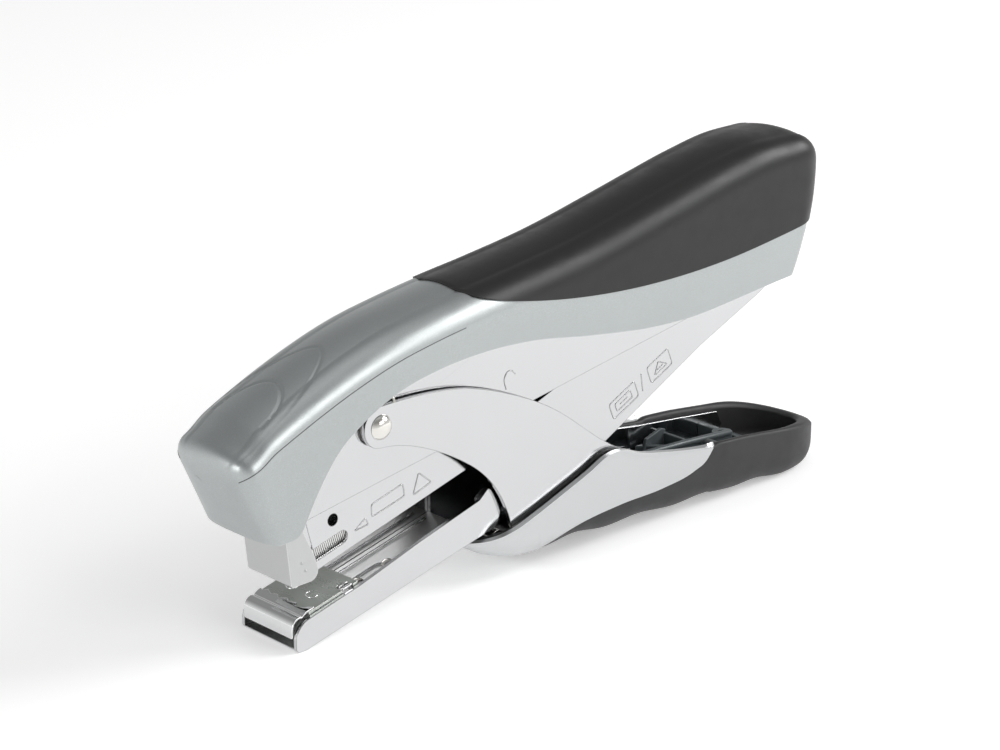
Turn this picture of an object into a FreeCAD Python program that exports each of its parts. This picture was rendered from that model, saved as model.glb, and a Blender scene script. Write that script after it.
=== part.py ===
import FreeCAD, Part
import Sketcher
import os
from FreeCAD import Placement, Rotation, Vector

# A plier stapler for full-strip metal staples. All lengths are in millimetres.
# +X points to the rear of the tool, +Z is up, and the tool is symmetric about the XZ plane.
# The origin lies on the surface the tool stands on, under the middle of its length.

SIZES = {
    # Front pivot: the rivet that joins the two link plates to the frame.
    "rivet_x": -57.9,
    "rivet_z": 46.7,
    "rivet_radius": 2.0,
    "rivet_head_radius": 2.9,
    "rivet_head_height": 1.4,
    "washer_radius": 4.2,
    # Rear pivot: the pin that the anvil arm and the magazine swing on.
    "pivot_x": 71.0,
    "pivot_z": 58.5,
    "pivot_radius": 1.8,
    "pivot_head_radius": 2.8,
    "running_gap": 0.05,
    # Sheet-metal levels, as half widths out from the middle plane.
    "sheet_steel": 0.9,
    "magazine_inner": 6.5,
    "magazine_outer": 7.2,
    "nose_outer": 7.45,
    "nose_slot": 6.6,
    "arm_rear_inner": 7.5,
    "arm_rear_outer": 8.4,
    "arm_front_inner": 8.5,
    "arm_front_outer": 9.4,
    "frame_inner": 8.7,
    "frame_outer": 9.6,
    "link_inner": 10.3,
    "link_outer": 11.3,
    # Covers and handle shells.
    "cover_half": 13.2,
    "cover_cavity_half": 11.6,
    "cover_shoulder": 6.0,
    "grip_side_skin": 0.8,
    "handle_half": 13.7,
    "handle_cavity_half": 11.5,
    "handle_round": 4.5,
    "cover_pin_radius": 1.5,
    "cover_pin_half": 12.3,
    "front_cover_pin_x": -20.0,
    "front_cover_pin_z": 61.2,
    "rear_cover_pin_x": 46.0,
    "rear_cover_pin_z": 62.6,
    # Magazine track: where its floor starts at the nose, and how steeply it climbs.
    "track_x": -74.0,
    "track_z": 16.4,
    "track_tilt": 14.9,
    # Staples of 12.8 mm crown and 6 mm leg on their rail.
    "staple_half": 6.4,
    "staple_inner": 5.85,
    "staple_foot": 1.2,
    "staple_crown": 7.2,
    "staple_wire": 0.5,
    "strip_start": -1.45,
    "strip_length": 13.0,
    "rail_half": 5.6,
    "rail_foot": 0.8,
    "rail_top": 6.3,
    "rail_wall": 0.8,
    "rail_start": -1.4,
    "rail_end": 39.0,
    "pusher_half": 6.3,
    "pusher_start": 11.6,
    "pusher_length": 7.0,
    "pusher_top": 8.6,
    "pusher_lug_half": 2.4,
    "pusher_lug_height": 3.2,
    "saddle_gap": 0.2,
    "rod_z": 10.0,
    "rod_radius": 0.85,
    "rod_start": 1.5,
    "stop_thickness": 1.2,
    "stop_top": 12.4,
    "bridge_bottom": 13.2,
    "bridge_top": 14.0,
    "bridge_start": 26.0,
    "bridge_length": 8.0,
    "side_hole_along": 7.9,
    "side_hole_up": 8.9,
    "side_hole_radius": 1.4,
    # Driver blade, which stays with the frame above the first staple.
    "blade_half": 6.2,
    "blade_start": -2.4,
    "blade_end": -1.7,
    "blade_bottom": 7.4,
    "blade_top": 30.0,
    "holder_bottom": 24.0,
    "holder_top": 31.0,
    "holder_front": 2.6,
    "holder_length": 8.0,
    "holder_pin_along": 1.0,
    "holder_pin_rise": 3.0,
    "holder_pin_radius": 1.2,
    # Springs.
    "return_coil_radius": 3.1,
    "return_wire": 0.4,
    "return_pitch": 1.4,
    "return_height": 14.0,
    "pusher_coil_radius": 1.6,
    "pusher_wire": 0.22,
    "pusher_pitch": 2.0,
    "pusher_spring_gap": 0.15,
    "pusher_spring_play": 0.8,
    "lifter_x": -48.7,
    "lifter_z": 38.9,
    "lifter_coil_radius": 3.1,
    "lifter_wire": 0.4,
    "lifter_pitch": 2.2,
    "lifter_height": 17.6,
    # Lower handle.
    "lift_bar_x": -21.5,
    "lift_bar_z": 10.0,
    "lift_bar_radius": 2.0,
    "lift_pin_radius": 1.0,
    "handle_pin_radius": 1.5,
    "front_handle_pin_x": 5.0,
    "front_handle_pin_z": 10.0,
    "rear_handle_pin_x": 30.0,
    "rear_handle_pin_z": 10.5,
    "core_half": 10.1,
    "rib_base": 6.0,
    "rib_height": 4.6,
    "boss_x": 66.0,
    "boss_base": 5.5,
    "boss_height": 6.0,
    "boss_radius": 2.6,
    "boss_bore_radius": 1.2,
    "boss_bore_top": 14.0,
    "boss_bore_depth": 6.5,
    # Anvil.
    "anvil_half": 8.45,
    "crimp_x": -74.6,
    "crimp_radius": 4.6,
    "crimp_level": 8.5,
    "anvil_rivet_radius": 1.7,
}

doc = FreeCAD.newDocument("plier_stapler")
sheet = doc.addObject("Spreadsheet::Sheet", "sizes")


def fill_sheet():
    """Writes each driving size to the sheet under its alias."""
    for row, (alias, value) in enumerate(SIZES.items(), start=1):
        sheet.set(f"A{row}", alias)
        sheet.set(f"B{row}", str(value))
        sheet.setAlias(f"B{row}", alias)
    doc.recompute()


def link(formula):
    """Turns bare aliases in a formula into references to the sheet."""
    words = formula.replace("(", " ( ").replace(")", " ) ").split()
    return "".join(f"sizes.{word}" if word in SIZES else word for word in words)


def new_body(label):
    body = doc.addObject("PartDesign::Body", label)
    body.Label = label
    return body


def new_sketch(body, name, role="XZ_Plane", offset=None):
    """A sketch on one of the body's own origin planes, moved off it by a sheet formula if one is given."""
    sketch = body.newObject("Sketcher::SketchObject", f"{body.Name}_{name}")
    plane = next(f for f in body.Origin.OriginFeatures if f.Role == role)
    sketch.AttachmentSupport = [(plane, "")]
    sketch.MapMode = "FlatFace"
    if offset:
        sketch.setExpression("AttachmentOffset.Base.z", link(offset))
    return sketch


def draw(sketch, path):
    """Draws a closed outline.

    Plain points are joined by lines, and a step (kind, points) is an arc or a smooth curve.
    """
    here = Vector(*path[0], 0)
    for step in path[1:] + [path[0]]:
        if isinstance(step[0], str):
            kind, points = step
            points = [Vector(*p, 0) for p in points]
            if kind == "arc":
                sketch.addGeometry(Part.Arc(here, points[0], points[1]))
            else:
                curve = Part.BSplineCurve()
                curve.interpolate([here] + points)
                sketch.addGeometry(curve)
            here = points[-1]
        else:
            there = Vector(*step, 0)
            if there.distanceToPoint(here) > 1e-6:
                sketch.addGeometry(Part.LineSegment(here, there))
            here = there


def draw_circle(sketch, across, up, radius):
    """Draws a circle whose centre and radius follow the sheet."""
    index = sketch.addGeometry(Part.Circle(Vector(1, 1, 0), Vector(0, 0, 1), 1))
    for kind, formula, arguments in (
        ("DistanceX", across, (-1, 1, index, 3, 1.0)),
        ("DistanceY", up, (-1, 1, index, 3, 1.0)),
        ("Radius", radius, (index, 1.0)),
    ):
        number = sketch.addConstraint(Sketcher.Constraint(kind, *arguments))
        sketch.setExpression(f"Constraints[{number}]", link(formula))


def draw_section(sketch, half, low, high):
    """Draws a rectangle, symmetric about the middle plane, sized by the sheet."""
    corners = [Vector(-2, 1, 0), Vector(2, 1, 0), Vector(2, 3, 0), Vector(-2, 3, 0)]
    first = sketch.GeometryCount
    for number in range(4):
        sketch.addGeometry(Part.LineSegment(corners[number], corners[(number + 1) % 4]))
    bottom, right, top, left = range(first, first + 4)
    for a, b in ((bottom, right), (right, top), (top, left), (left, bottom)):
        sketch.addConstraint(Sketcher.Constraint("Coincident", a, 2, b, 1))
    for side, kind in ((bottom, "Horizontal"), (top, "Horizontal"), (right, "Vertical"), (left, "Vertical")):
        sketch.addConstraint(Sketcher.Constraint(kind, side))
    for kind, formula, arguments in (
        ("DistanceX", half, (-1, 1, right, 1, 2.0)),
        ("DistanceX", f"-1 * ( {half} )", (-1, 1, left, 1, -2.0)),
        ("DistanceY", low, (-1, 1, bottom, 1, 1.0)),
        ("DistanceY", high, (-1, 1, top, 1, 3.0)),
    ):
        number = sketch.addConstraint(Sketcher.Constraint(kind, *arguments))
        sketch.setExpression(f"Constraints[{number}]", link(formula))


def extrude(body, sketch, length, kind="Pad", name=None, symmetric=True, flip=False):
    """Pads or pockets a sketch by a sheet formula, evenly to both sides unless told otherwise."""
    feature = body.newObject(f"PartDesign::{kind}", name or f"{sketch.Name}_{kind.lower()}")
    feature.Profile = sketch
    if symmetric:
        feature.SideType = "Symmetric"
    feature.Reversed = flip
    feature.setExpression("Length", link(length))
    return feature


def plate(label, outline, width):
    """A body padded from a side outline to a full width."""
    body = new_body(label)
    sketch = new_sketch(body, "outline")
    draw(sketch, outline)
    extrude(body, sketch, width)
    return body


def cut_outline(body, name, outline, width):
    """Cuts a side outline out of a body, to a full width."""
    sketch = new_sketch(body, name)
    draw(sketch, outline)
    return extrude(body, sketch, width, "Pocket")


def cut_circle(body, name, across, up, radius, width):
    """Drills a hole along Y through a full width."""
    sketch = new_sketch(body, name)
    draw_circle(sketch, across, up, radius)
    return extrude(body, sketch, width, "Pocket")


def round_edges(body, radius, chosen):
    """Fillets the edges of the body's present shape that a test picks."""
    doc.recompute()
    base = body.Tip
    names = [f"Edge{n}" for n, edge in enumerate(base.Shape.Edges, start=1) if chosen(edge)]
    fillet = body.newObject("PartDesign::Fillet", f"{body.Name}_rounding")
    fillet.Base = (base, names)
    fillet.setExpression("Radius", link(radius))
    return fillet


def pin(label, across, up, radius, width):
    """A plain round pin along Y."""
    body = new_body(label)
    sketch = new_sketch(body, "round")
    draw_circle(sketch, across, up, radius)
    extrude(body, sketch, width)
    return body


def on_track(body):
    """Sets a body that is drawn along the staple track onto the tilted track."""
    body.Placement = Placement(Vector(), Rotation(Vector(0, 1, 0), 1))
    body.setExpression("Placement.Base.x", link("track_x"))
    body.setExpression("Placement.Base.z", link("track_z"))
    body.setExpression("Placement.Rotation.Angle", link("-1 * track_tilt"))
    return body


def combine(kind, label, base, tool):
    """A Part boolean of two objects."""
    result = doc.addObject(f"Part::{kind}", label)
    result.Label = label
    result.Base = base
    result.Tool = tool
    return result


def fuse_all(label, pieces):
    """One node from several separate solids, such as a set of identical pins."""
    group = doc.addObject("Part::MultiFuse", label)
    group.Label = label
    group.Shapes = pieces
    return group


def coil(label, radius, wire, pitch, height, place):
    """A helical spring of round wire, swept along its own axis at a given placement."""
    helix = doc.addObject("Part::Helix", f"{label}_path")
    helix.setExpression("Radius", link(radius))
    helix.setExpression("Pitch", link(pitch))
    helix.setExpression("Height", link(height))
    helix.Placement = place
    section = doc.addObject("Part::Circle", f"{label}_section")
    section.setExpression("Radius", link(wire))
    start = Placement(Vector(SIZES[radius], 0, 0), Rotation(Vector(1, 0, 0), 90))
    section.Placement = place.multiply(start)
    doc.recompute()
    spring = doc.addObject("Part::Sweep", label)
    spring.Label = label
    spring.Sections = [section]
    spring.Spine = (helix, ["Edge1"])
    spring.Solid = True
    spring.Frenet = True
    return spring


# ---- Outlines seen from the side, as (x, z) points -----------------------------------------------

COVER_FRONT = [(-93.7, 40.3), (-97.0, 47.6)]
COVER_TOP = [
    (-88.0, 54.6), (-66.4, 63.6), (-51.8, 67.8), (-29.2, 71.6), (0.0, 75.2), (36.3, 82.9),
    (55.5, 86.9), (72.0, 88.9), (82.0, 87.6),
]
COVER_REAR = [(88.2, 83.2), (89.8, 76.0), (88.0, 65.5), (82.0, 53.9)]
COVER_EDGE = [
    (73.6, 53.6), (53.4, 51.9), (38.4, 50.9), (26.2, 51.3), (4.9, 53.9), (-15.2, 57.0),
    (-29.8, 57.6), (-42.7, 56.6), (-52.7, 54.6),
]
HEAD_EDGE = [(-64.6, 49.3), (-70.5, 45.0), (-76.7, 36.8), (-81.2, 29.3)]


def shifted(points, dx, dz):
    return [(x + dx, z + dz) for x, z in points]


def cover_outline(dx=0.0, dz=0.0):
    """The upper cover's side outline, moved as a whole."""
    start = (-89.5, 28.3)
    steps = [
        ("curve", shifted(COVER_FRONT, dx, dz)),
        ("curve", shifted(COVER_TOP, dx, dz)),
        ("curve", shifted(COVER_REAR, dx, dz)),
        ("curve", shifted(COVER_EDGE, dx, dz)),
        ("curve", shifted(HEAD_EDGE, dx, dz)),
    ]
    return shifted([start], dx, dz) + steps


def shoulder(edge):
    """True for the long side edges over the top and down the rear of a cover solid."""
    middle = edge.valueAt((edge.FirstParameter + edge.LastParameter) / 2)
    return edge.BoundBox.YLength < 0.01 and middle.z > 62.0


def cover_solid(label, half, radius, dx=0.0, dz=0.0):
    body = plate(label, cover_outline(dx, dz), f"2 * ( {half} )")
    round_edges(body, radius, shoulder)
    return body


def make_cover_and_grip():
    """The rounded upper cover, with a rubber grip moulded over the rear of its back."""
    form = cover_solid("cover_form", "cover_half", "cover_shoulder")
    core = cover_solid(
        "cover_core",
        "cover_half - grip_side_skin",
        "cover_shoulder - grip_side_skin",
        -1.3,
        -1.8,
    )
    cavity_top = shifted(COVER_TOP, 0.5, -4.2)[:-1]
    cavity = plate(
        "cover_cavity",
        [
            (-87.5, 20.0),
            (-87.5, 28.3),
            ("curve", [(-91.6, 40.0), (-93.2, 46.2)]),
            ("curve", cavity_top + [(81.0, 82.6)]),
            ("curve", [(86.4, 76.0), (84.8, 66.0), (78.6, 54.5)]),
            (76.0, 40.0),
            (-40.0, 20.0),
        ],
        "2 * cover_cavity_half",
    )
    zone = plate(
        "grip_zone",
        [
            (-31.5, 74.0),
            (-31.0, 71.0),
            ("curve", [
                (-14.8, 66.4), (9.8, 63.0), (28.3, 62.1), (51.4, 62.8), (71.5, 65.0), (95.0, 68.5),
            ]),
            (95.0, 95.0),
            (-31.5, 95.0),
        ],
        "2 * cover_half + 2",
    )
    hood = combine("Common", "grip_form", form, zone)
    grip = combine("Cut", "upper_grip", hood, core)
    shell = combine("Cut", "cover_shell", form, cavity)
    trimmed = combine("Cut", "cover_trimmed", shell, grip)
    cover = combine("Cut", "upper_cover", trimmed, cover_pin_set("cover_pin_holes"))
    return [cover, grip]


COVER_PINS = (
    ("front_cover_pin_x", "front_cover_pin_z"),
    ("rear_cover_pin_x", "rear_cover_pin_z"),
)


def cover_pin_set(label):
    """Two cross pins that hold the cover on the frame."""
    pins = [
        pin(f"{label}_{n}", across, up, "cover_pin_radius", "2 * cover_pin_half")
        for n, (across, up) in enumerate(COVER_PINS, start=1)
    ]
    return fuse_all(label, pins)


FRAME_TOP = [(-84.5, 50.0), (-66.0, 55.6), (-30.0, 62.8), (20.0, 65.6), (75.4, 67.0)]


def make_upper_frame():
    """The folded steel channel under the cover, open below, that carries both pivots."""
    body = plate(
        "upper_frame",
        [(-79.6, 29.8), (-87.0, 44.0), (-86.6, 47.6), ("curve", FRAME_TOP), (75.4, 57.0), (70.5, 53.9)],
        "2 * frame_outer",
    )
    inner_top = shifted(FRAME_TOP, 0.0, -SIZES["sheet_steel"])
    cut_outline(
        body,
        "channel",
        [(-82.0, 20.0), (-90.0, 44.0), (-86.6, 46.7), ("curve", inner_top), (80.0, 66.1), (80.0, 40.0)],
        "2 * frame_inner",
    )
    full = "2 * frame_outer + 2"
    cut_circle(body, "rivet_hole", "rivet_x", "rivet_z", "rivet_radius", full)
    cut_circle(body, "pivot_hole", "pivot_x", "pivot_z", "pivot_radius", full)
    for number, (across, up) in enumerate(COVER_PINS, start=1):
        cut_circle(body, f"cover_hole_{number}", across, up, "cover_pin_radius", full)
    return body


def make_driver():
    """The driver blade, the block that clamps it to the frame's nose, and the pins through that block."""
    blade = new_body("driver_blade")
    sketch = new_sketch(blade, "face", "YZ_Plane", "blade_start")
    draw_section(sketch, "blade_half", "blade_bottom", "blade_top")
    extrude(blade, sketch, "blade_end - blade_start", symmetric=False)
    on_track(blade)
    holder = new_body("driver_holder")
    front = new_sketch(holder, "block", "YZ_Plane", "blade_start - holder_front")
    draw_section(front, "frame_inner", "holder_bottom", "holder_top")
    extrude(holder, front, "holder_length", symmetric=False)
    slot = new_sketch(holder, "slot", "YZ_Plane", "blade_start")
    draw_section(slot, "blade_half", "holder_bottom - 1", "blade_top")
    extrude(holder, slot, "blade_end - blade_start", "Pocket", symmetric=False, flip=True)
    pin_up = "holder_bottom + holder_pin_rise"
    cut_circle(holder, "pin_hole", "holder_pin_along", pin_up, "holder_pin_radius", "2 * frame_outer + 2")
    on_track(holder)
    holder_pin = pin("holder_pin", "holder_pin_along", pin_up, "holder_pin_radius", "2 * frame_inner")
    on_track(holder_pin)
    return [blade, holder, holder_pin]


def turned(label, profile, across, up):
    """A body turned about the Y direction from a half profile of (radius, y) steps."""
    body = new_body(label)
    sketch = new_sketch(body, "profile")
    draw(sketch, profile)
    spin = body.newObject("PartDesign::Revolution", f"{label}_spin")
    spin.Profile = sketch
    spin.ReferenceAxis = (sketch, ["V_Axis"])
    spin.Angle = 360
    body.Placement = Placement(Vector(), Rotation(Vector(1, 0, 0), -90))
    body.setExpression("Placement.Base.x", link(across))
    body.setExpression("Placement.Base.z", link(up))
    return body


def make_front_pivot():
    """The domed rivet, with a washer on each side between frame and link plate."""
    head = SIZES["link_outer"] + SIZES["running_gap"]
    top = head + SIZES["rivet_head_height"]
    shank = SIZES["rivet_radius"]
    wide = SIZES["rivet_head_radius"]
    rivet = turned(
        "pivot_rivet",
        [
            (0, -top),
            ("curve", [(wide * 0.7, -top + 0.45), (wide, -head)]),
            (shank, -head),
            (shank, head),
            (wide, head),
            ("curve", [(wide * 0.7, top - 0.45), (0, top)]),
        ],
        "rivet_x",
        "rivet_z",
    )
    inner = SIZES["frame_outer"]
    outer = SIZES["link_inner"] - SIZES["running_gap"]
    rim = SIZES["washer_radius"]
    washers = [
        turned(f"washer_{side}", [(shank, a), (rim, a), (rim, b), (shank, b)], "rivet_x", "rivet_z")
        for side, a, b in (("far", inner, outer), ("near", -outer, -inner))
    ]
    return [rivet, fuse_all("rivet_washers", washers)]


def make_rear_pivot():
    """The headed pin at the rear that the anvil arm and the magazine share."""
    shank = SIZES["pivot_radius"]
    wide = SIZES["pivot_head_radius"]
    head = SIZES["frame_outer"]
    top = head + 1.0
    return turned(
        "rear_pivot_pin",
        [
            (0, -top), (wide - 0.4, -top), (wide, -head), (shank, -head), (shank, head),
            (wide, head), (wide - 0.4, top), (0, top),
        ],
        "pivot_x",
        "pivot_z",
    )


def make_link_plate(label, side):
    """One swan-necked plate, from the front rivet down into the lower handle."""
    body = new_body(label)
    sketch = new_sketch(body, "outline", offset=f"{-side} * ( link_inner + link_outer ) / 2")
    draw(
        sketch,
        [
            (-57.9, 51.5),
            ("curve", [
                (-45.4, 51.3), (-32.9, 49.6), (-20.0, 45.3), (-3.5, 36.8), (10.3, 26.6),
                (20.7, 20.6), (36.0, 15.5),
            ]),
            (38.0, 9.0),
            (10.0, 7.6),
            (-12.0, 8.4),
            (-18.6, 11.2),
            ("curve", [
                (-20.4, 17.1), (-25.7, 25.7), (-35.1, 33.3), (-43.9, 38.0), (-53.0, 41.2),
                (-57.9, 41.9),
            ]),
            ("arc", [(-62.7, 46.7), (-57.9, 51.5)]),
        ],
    )
    extrude(body, sketch, "link_outer - link_inner")
    full = "2 * link_outer + 2"
    cut_circle(body, "rivet_hole", "rivet_x", "rivet_z", "rivet_radius + running_gap", full)
    cut_circle(body, "front_pin_hole", "front_handle_pin_x", "front_handle_pin_z", "handle_pin_radius", full)
    cut_circle(body, "rear_pin_hole", "rear_handle_pin_x", "rear_handle_pin_z", "handle_pin_radius", full)
    return body


HANDLE_BOTTOM = [
    (-26.2, 7.0), (-18.0, 4.6), (-8.0, 3.6), (2.0, 4.3), (12.0, 2.9), (24.0, 3.1), (36.0, 1.8),
    (48.0, 2.1), (58.0, 1.3), (66.0, 1.4), (76.0, 0.0),
]
HANDLE_RIM = [
    (84.0, 11.6), (73.5, 13.0), (60.0, 14.8), (45.3, 16.2), (30.5, 18.8), (21.4, 20.9),
    (15.1, 23.2), (10.5, 23.1), (4.2, 20.6), (-2.9, 18.1), (-12.0, 15.0), (-18.0, 13.1),
]


def make_lower_handle():
    """The lower handle: a bright shell over its front cheeks and a rubber grip under and behind it."""
    form = plate(
        "handle_form",
        [
            (-31.0, 9.9),
            ("curve", HANDLE_BOTTOM),
            (85.0, 0.0),
            ("curve", [(91.5, 1.2), (95.4, 3.4), (97.0, 6.2)]),
            ("curve", [(93.0, 9.4)] + HANDLE_RIM),
        ],
        "2 * handle_half",
    )
    round_edges(
        form,
        "handle_round",
        lambda edge: edge.BoundBox.YLength < 0.01 and edge.BoundBox.ZMin < 4.0,
    )
    zone = plate(
        "handle_grip_zone",
        [
            (-14.0, -5.0),
            ("curve", [
                (-8.6, 6.0), (0.3, 8.1), (15.3, 9.4), (30.2, 9.6), (41.1, 11.1), (45.5, 12.7),
                (47.4, 18.0),
            ]),
            (47.4, 30.0),
            (110.0, 30.0),
            (110.0, -5.0),
        ],
        "2 * handle_half + 2",
    )
    floor = [(-25.0, 9.0)] + shifted(HANDLE_BOTTOM, 0.0, 2.2)[1:-1]
    cavity = plate(
        "handle_cavity",
        [
            (-29.0, 10.4), ("curve", floor), (77.0, 2.4), ("curve", [(88.0, 3.6), (92.5, 8.0)]),
            (92.5, 40.0), (-40.0, 40.0),
        ],
        "2 * handle_cavity_half",
    )
    round_edges(cavity, "10.0", lambda edge: edge.BoundBox.XMin > 92.0 and edge.BoundBox.YLength < 0.01)
    grip_form = combine("Common", "handle_grip_form", form, zone)
    grip = combine("Cut", "lower_grip", grip_form, cavity)
    shell_form = combine("Cut", "handle_shell_form", form, zone)
    hollow = combine("Cut", "handle_shell_hollow", shell_form, cavity)
    bore = pin("lift_pin_bore", "lift_bar_x", "lift_bar_z", "lift_pin_radius", "2 * handle_cavity_half + 2")
    shell = combine("Cut", "lower_shell", hollow, bore)
    return [shell, grip]


def make_handle_core():
    """The moulded tray insert in the lower handle, with a cross web, a long rib and a boss."""
    body = plate("handle_core", [(-6.0, 6.8), (78.0, 4.9), (78.0, 6.4), (-6.0, 8.0)], "2 * core_half")
    ribs = new_sketch(body, "ribs", "XY_Plane", "rib_base")
    for path in (
        [(14.0, -9.4), (16.0, -9.4), (42.0, 9.4), (40.0, 9.4)],
        [(44.0, 9.4), (46.0, 9.4), (64.0, -9.4), (62.0, -9.4)],
    ):
        draw(ribs, path)
    extrude(body, ribs, "rib_height", symmetric=False)
    boss = new_sketch(body, "boss", "XY_Plane", "boss_base")
    draw_circle(boss, "boss_x", "0", "boss_radius")
    extrude(body, boss, "boss_height", symmetric=False)
    bore = new_sketch(body, "boss_bore", "XY_Plane", "boss_bore_top")
    draw_circle(bore, "boss_x", "0", "boss_bore_radius")
    extrude(body, bore, "boss_bore_depth", "Pocket", symmetric=False)
    for name, across, up in (
        ("front_pin_hole", "front_handle_pin_x", "front_handle_pin_z"),
        ("rear_pin_hole", "rear_handle_pin_x", "rear_handle_pin_z"),
    ):
        cut_circle(body, name, across, up, "handle_pin_radius", "2 * handle_half")
    return body


def make_handle_fasteners():
    """The cross pins through the link plates, and the hardened bar that lifts the anvil arm."""
    pins = [
        pin(
            "handle_pin_front", "front_handle_pin_x", "front_handle_pin_z", "handle_pin_radius",
            "2 * handle_cavity_half",
        ),
        pin(
            "handle_pin_rear", "rear_handle_pin_x", "rear_handle_pin_z", "handle_pin_radius",
            "2 * handle_cavity_half",
        ),
    ]
    bar = pin("lift_bar", "lift_bar_x", "lift_bar_z", "lift_bar_radius", "2 * arm_front_outer")
    cut_circle(bar, "bore", "lift_bar_x", "lift_bar_z", "lift_pin_radius", "2 * frame_outer + 2")
    bar_pin = pin("lift_bar_pin", "lift_bar_x", "lift_bar_z", "lift_pin_radius", "2 * handle_cavity_half + 2")
    return [fuse_all("handle_pins", pins), bar, bar_pin]


def make_anvil_arm():
    """The folded steel arm: a channel under the magazine, and plates up to the rear pivot."""
    body = plate(
        "anvil_arm",
        [
            (-81.4, 0.8),
            (-80.8, 0.0),
            (-78.6, 0.0),
            (-22.4, 12.95),
            ("arc", [(-20.8, 16.6), (-24.5, 23.0)]),
            (-27.2, 20.8),
            (-45.1, 16.0),
            (-62.5, 10.8),
            (-78.2, 7.0),
            ("arc", [(-80.2, 5.6), (-81.4, 3.2)]),
        ],
        "2 * arm_front_outer",
    )
    rear = new_sketch(body, "rear_outline")
    draw(
        rear,
        [
            (-27.0, 11.9),
            (1.3, 18.4),
            (14.6, 24.2),
            (47.6, 40.7),
            (69.3, 49.8),
            ("curve", [(74.6, 54.8), (75.8, 58.5), (74.4, 61.9), (71.0, 63.3)]),
            (60.0, 61.0),
            (12.0, 51.0),
            (-2.8, 41.4),
            (-7.9, 39.6),
            (-18.0, 25.5),
            (-27.0, 20.5),
        ],
    )
    extrude(body, rear, "2 * arm_rear_outer")
    cut_outline(
        body,
        "front_channel",
        [(-90.0, 1.0), (-78.7, 1.0), (-27.0, 12.85), (-27.0, 40.0), (-90.0, 40.0)],
        "2 * arm_front_inner",
    )
    cut_outline(
        body,
        "rear_channel",
        [
            (-28.0, 12.7), (1.0, 19.3), (14.2, 25.1), (47.2, 41.6), (68.9, 50.8), (80.0, 56.0),
            (80.0, 80.0), (-28.0, 80.0),
        ],
        "2 * arm_rear_inner",
    )
    cut_circle(body, "pivot_hole", "pivot_x", "pivot_z", "pivot_radius + running_gap", "2 * frame_outer")
    return body


def make_anvil_plate():
    """The hardened plate that turns the staple legs, rolled down at its front."""
    body = plate(
        "anvil_plate",
        [
            (-62.8, 11.5),
            (-79.0, 7.8),
            ("arc", [(-80.6, 7.0), (-81.2, 5.2)]),
            (-81.3, 3.0),
            (-80.4, 3.0),
            (-80.3, 5.2),
            ("arc", [(-79.9, 6.2), (-78.8, 6.7)]),
            (-62.8, 10.4),
        ],
        "2 * anvil_half",
    )
    recess = new_sketch(body, "crimp", "XY_Plane", "20")
    draw_circle(recess, "crimp_x", "0", "crimp_radius")
    extrude(body, recess, "20 - crimp_level", "Pocket", symmetric=False)
    return body


ARM_FLOOR_TILT = 12.93


def make_anvil_rivets():
    """Two low domed rivets on the floor of the anvil arm."""
    pieces = []
    for number, (x, z) in enumerate(((-56.0, 6.22), (-47.0, 8.29)), start=1):
        body = new_body(f"anvil_rivet_{number}")
        sketch = new_sketch(body, "profile")
        radius = SIZES["anvil_rivet_radius"]
        draw(sketch, [(0, 0), (radius, 0), ("curve", [(radius * 0.75, 0.55), (0, 0.9)])])
        spin = body.newObject("PartDesign::Revolution", f"anvil_rivet_{number}_spin")
        spin.Profile = sketch
        spin.ReferenceAxis = (sketch, ["V_Axis"])
        spin.Angle = 360
        body.Placement = Placement(Vector(x, 0, z), Rotation(Vector(0, 1, 0), -ARM_FLOOR_TILT))
        pieces.append(body)
    return fuse_all("anvil_rivets", pieces)


def make_magazine_channel():
    """The open-topped magazine channel along the track, with plates back to the rear pivot."""
    body = plate(
        "magazine_channel",
        [
            (0.95, 0.0),
            (47.0, 0.0),
            ("curve", [(45.6, 1.6), (43.2, 5.0), (40.6, 8.3), (42.5, 9.7)]),
            (100.0, 4.7),
            (140.0, 0.4),
            ("curve", [(147.0, -0.6), (151.0, -1.0), (155.4, 3.4), (151.0, 7.8)]),
            (60.0, 14.5),
            (4.0, 16.5),
            (0.95, 14.0),
        ],
        "2 * magazine_outer",
    )
    inside = [(-5.0, 0.8), (170.0, 0.8), (170.0, 30.0), (-5.0, 30.0)]
    cut_outline(body, "channel", inside, "2 * magazine_inner")
    cut_outline(
        body,
        "rear_gap",
        [(60.0, -5.0), (170.0, -5.0), (170.0, 2.0), (60.0, 2.0)],
        "2 * magazine_inner",
    )
    window = [(-1.0, 2.1), (9.2, 2.1), ("arc", [(10.7, 3.65), (9.2, 5.2)]), (-1.0, 5.2)]
    cut_outline(body, "window", window, "2 * magazine_outer + 2")
    cut_circle(
        body, "side_hole", "side_hole_along", "side_hole_up", "side_hole_radius", "2 * magazine_outer + 2"
    )
    along, above = "( pivot_x - track_x )", "( pivot_z - track_z )"
    cosine, sine = "cos ( track_tilt * 1deg )", "sin ( track_tilt * 1deg )"
    cut_circle(
        body,
        "pivot_hole",
        f"{along} * {cosine} + {above} * {sine}",
        f"{above} * {cosine} - {along} * {sine}",
        "pivot_radius + running_gap",
        "2 * magazine_outer + 2",
    )
    return on_track(body)


def make_nose_guard():
    """The plastic nose that closes the front of the magazine, hollow behind for staple and blade."""
    body = plate(
        "nose_guard",
        [
            (-6.9, 0.5),
            ("arc", [(-6.5, -0.2), (-5.5, -0.4)]),
            (-1.9, -1.3),
            ("arc", [(0.2, -0.8), (0.9, 0.6)]),
            (0.9, 3.3),
            (-0.3, 10.4),
            (-0.6, 16.0),
            (-5.0, 16.0),
            (-5.4, 10.2),
        ],
        "2 * nose_outer",
    )
    slot = [(-2.7, -5.0), (3.0, -5.0), (3.0, 25.0), (-3.9, 25.0), (-2.9, 5.0)]
    cut_outline(body, "slot", slot, "2 * nose_slot")
    return on_track(body)


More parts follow.
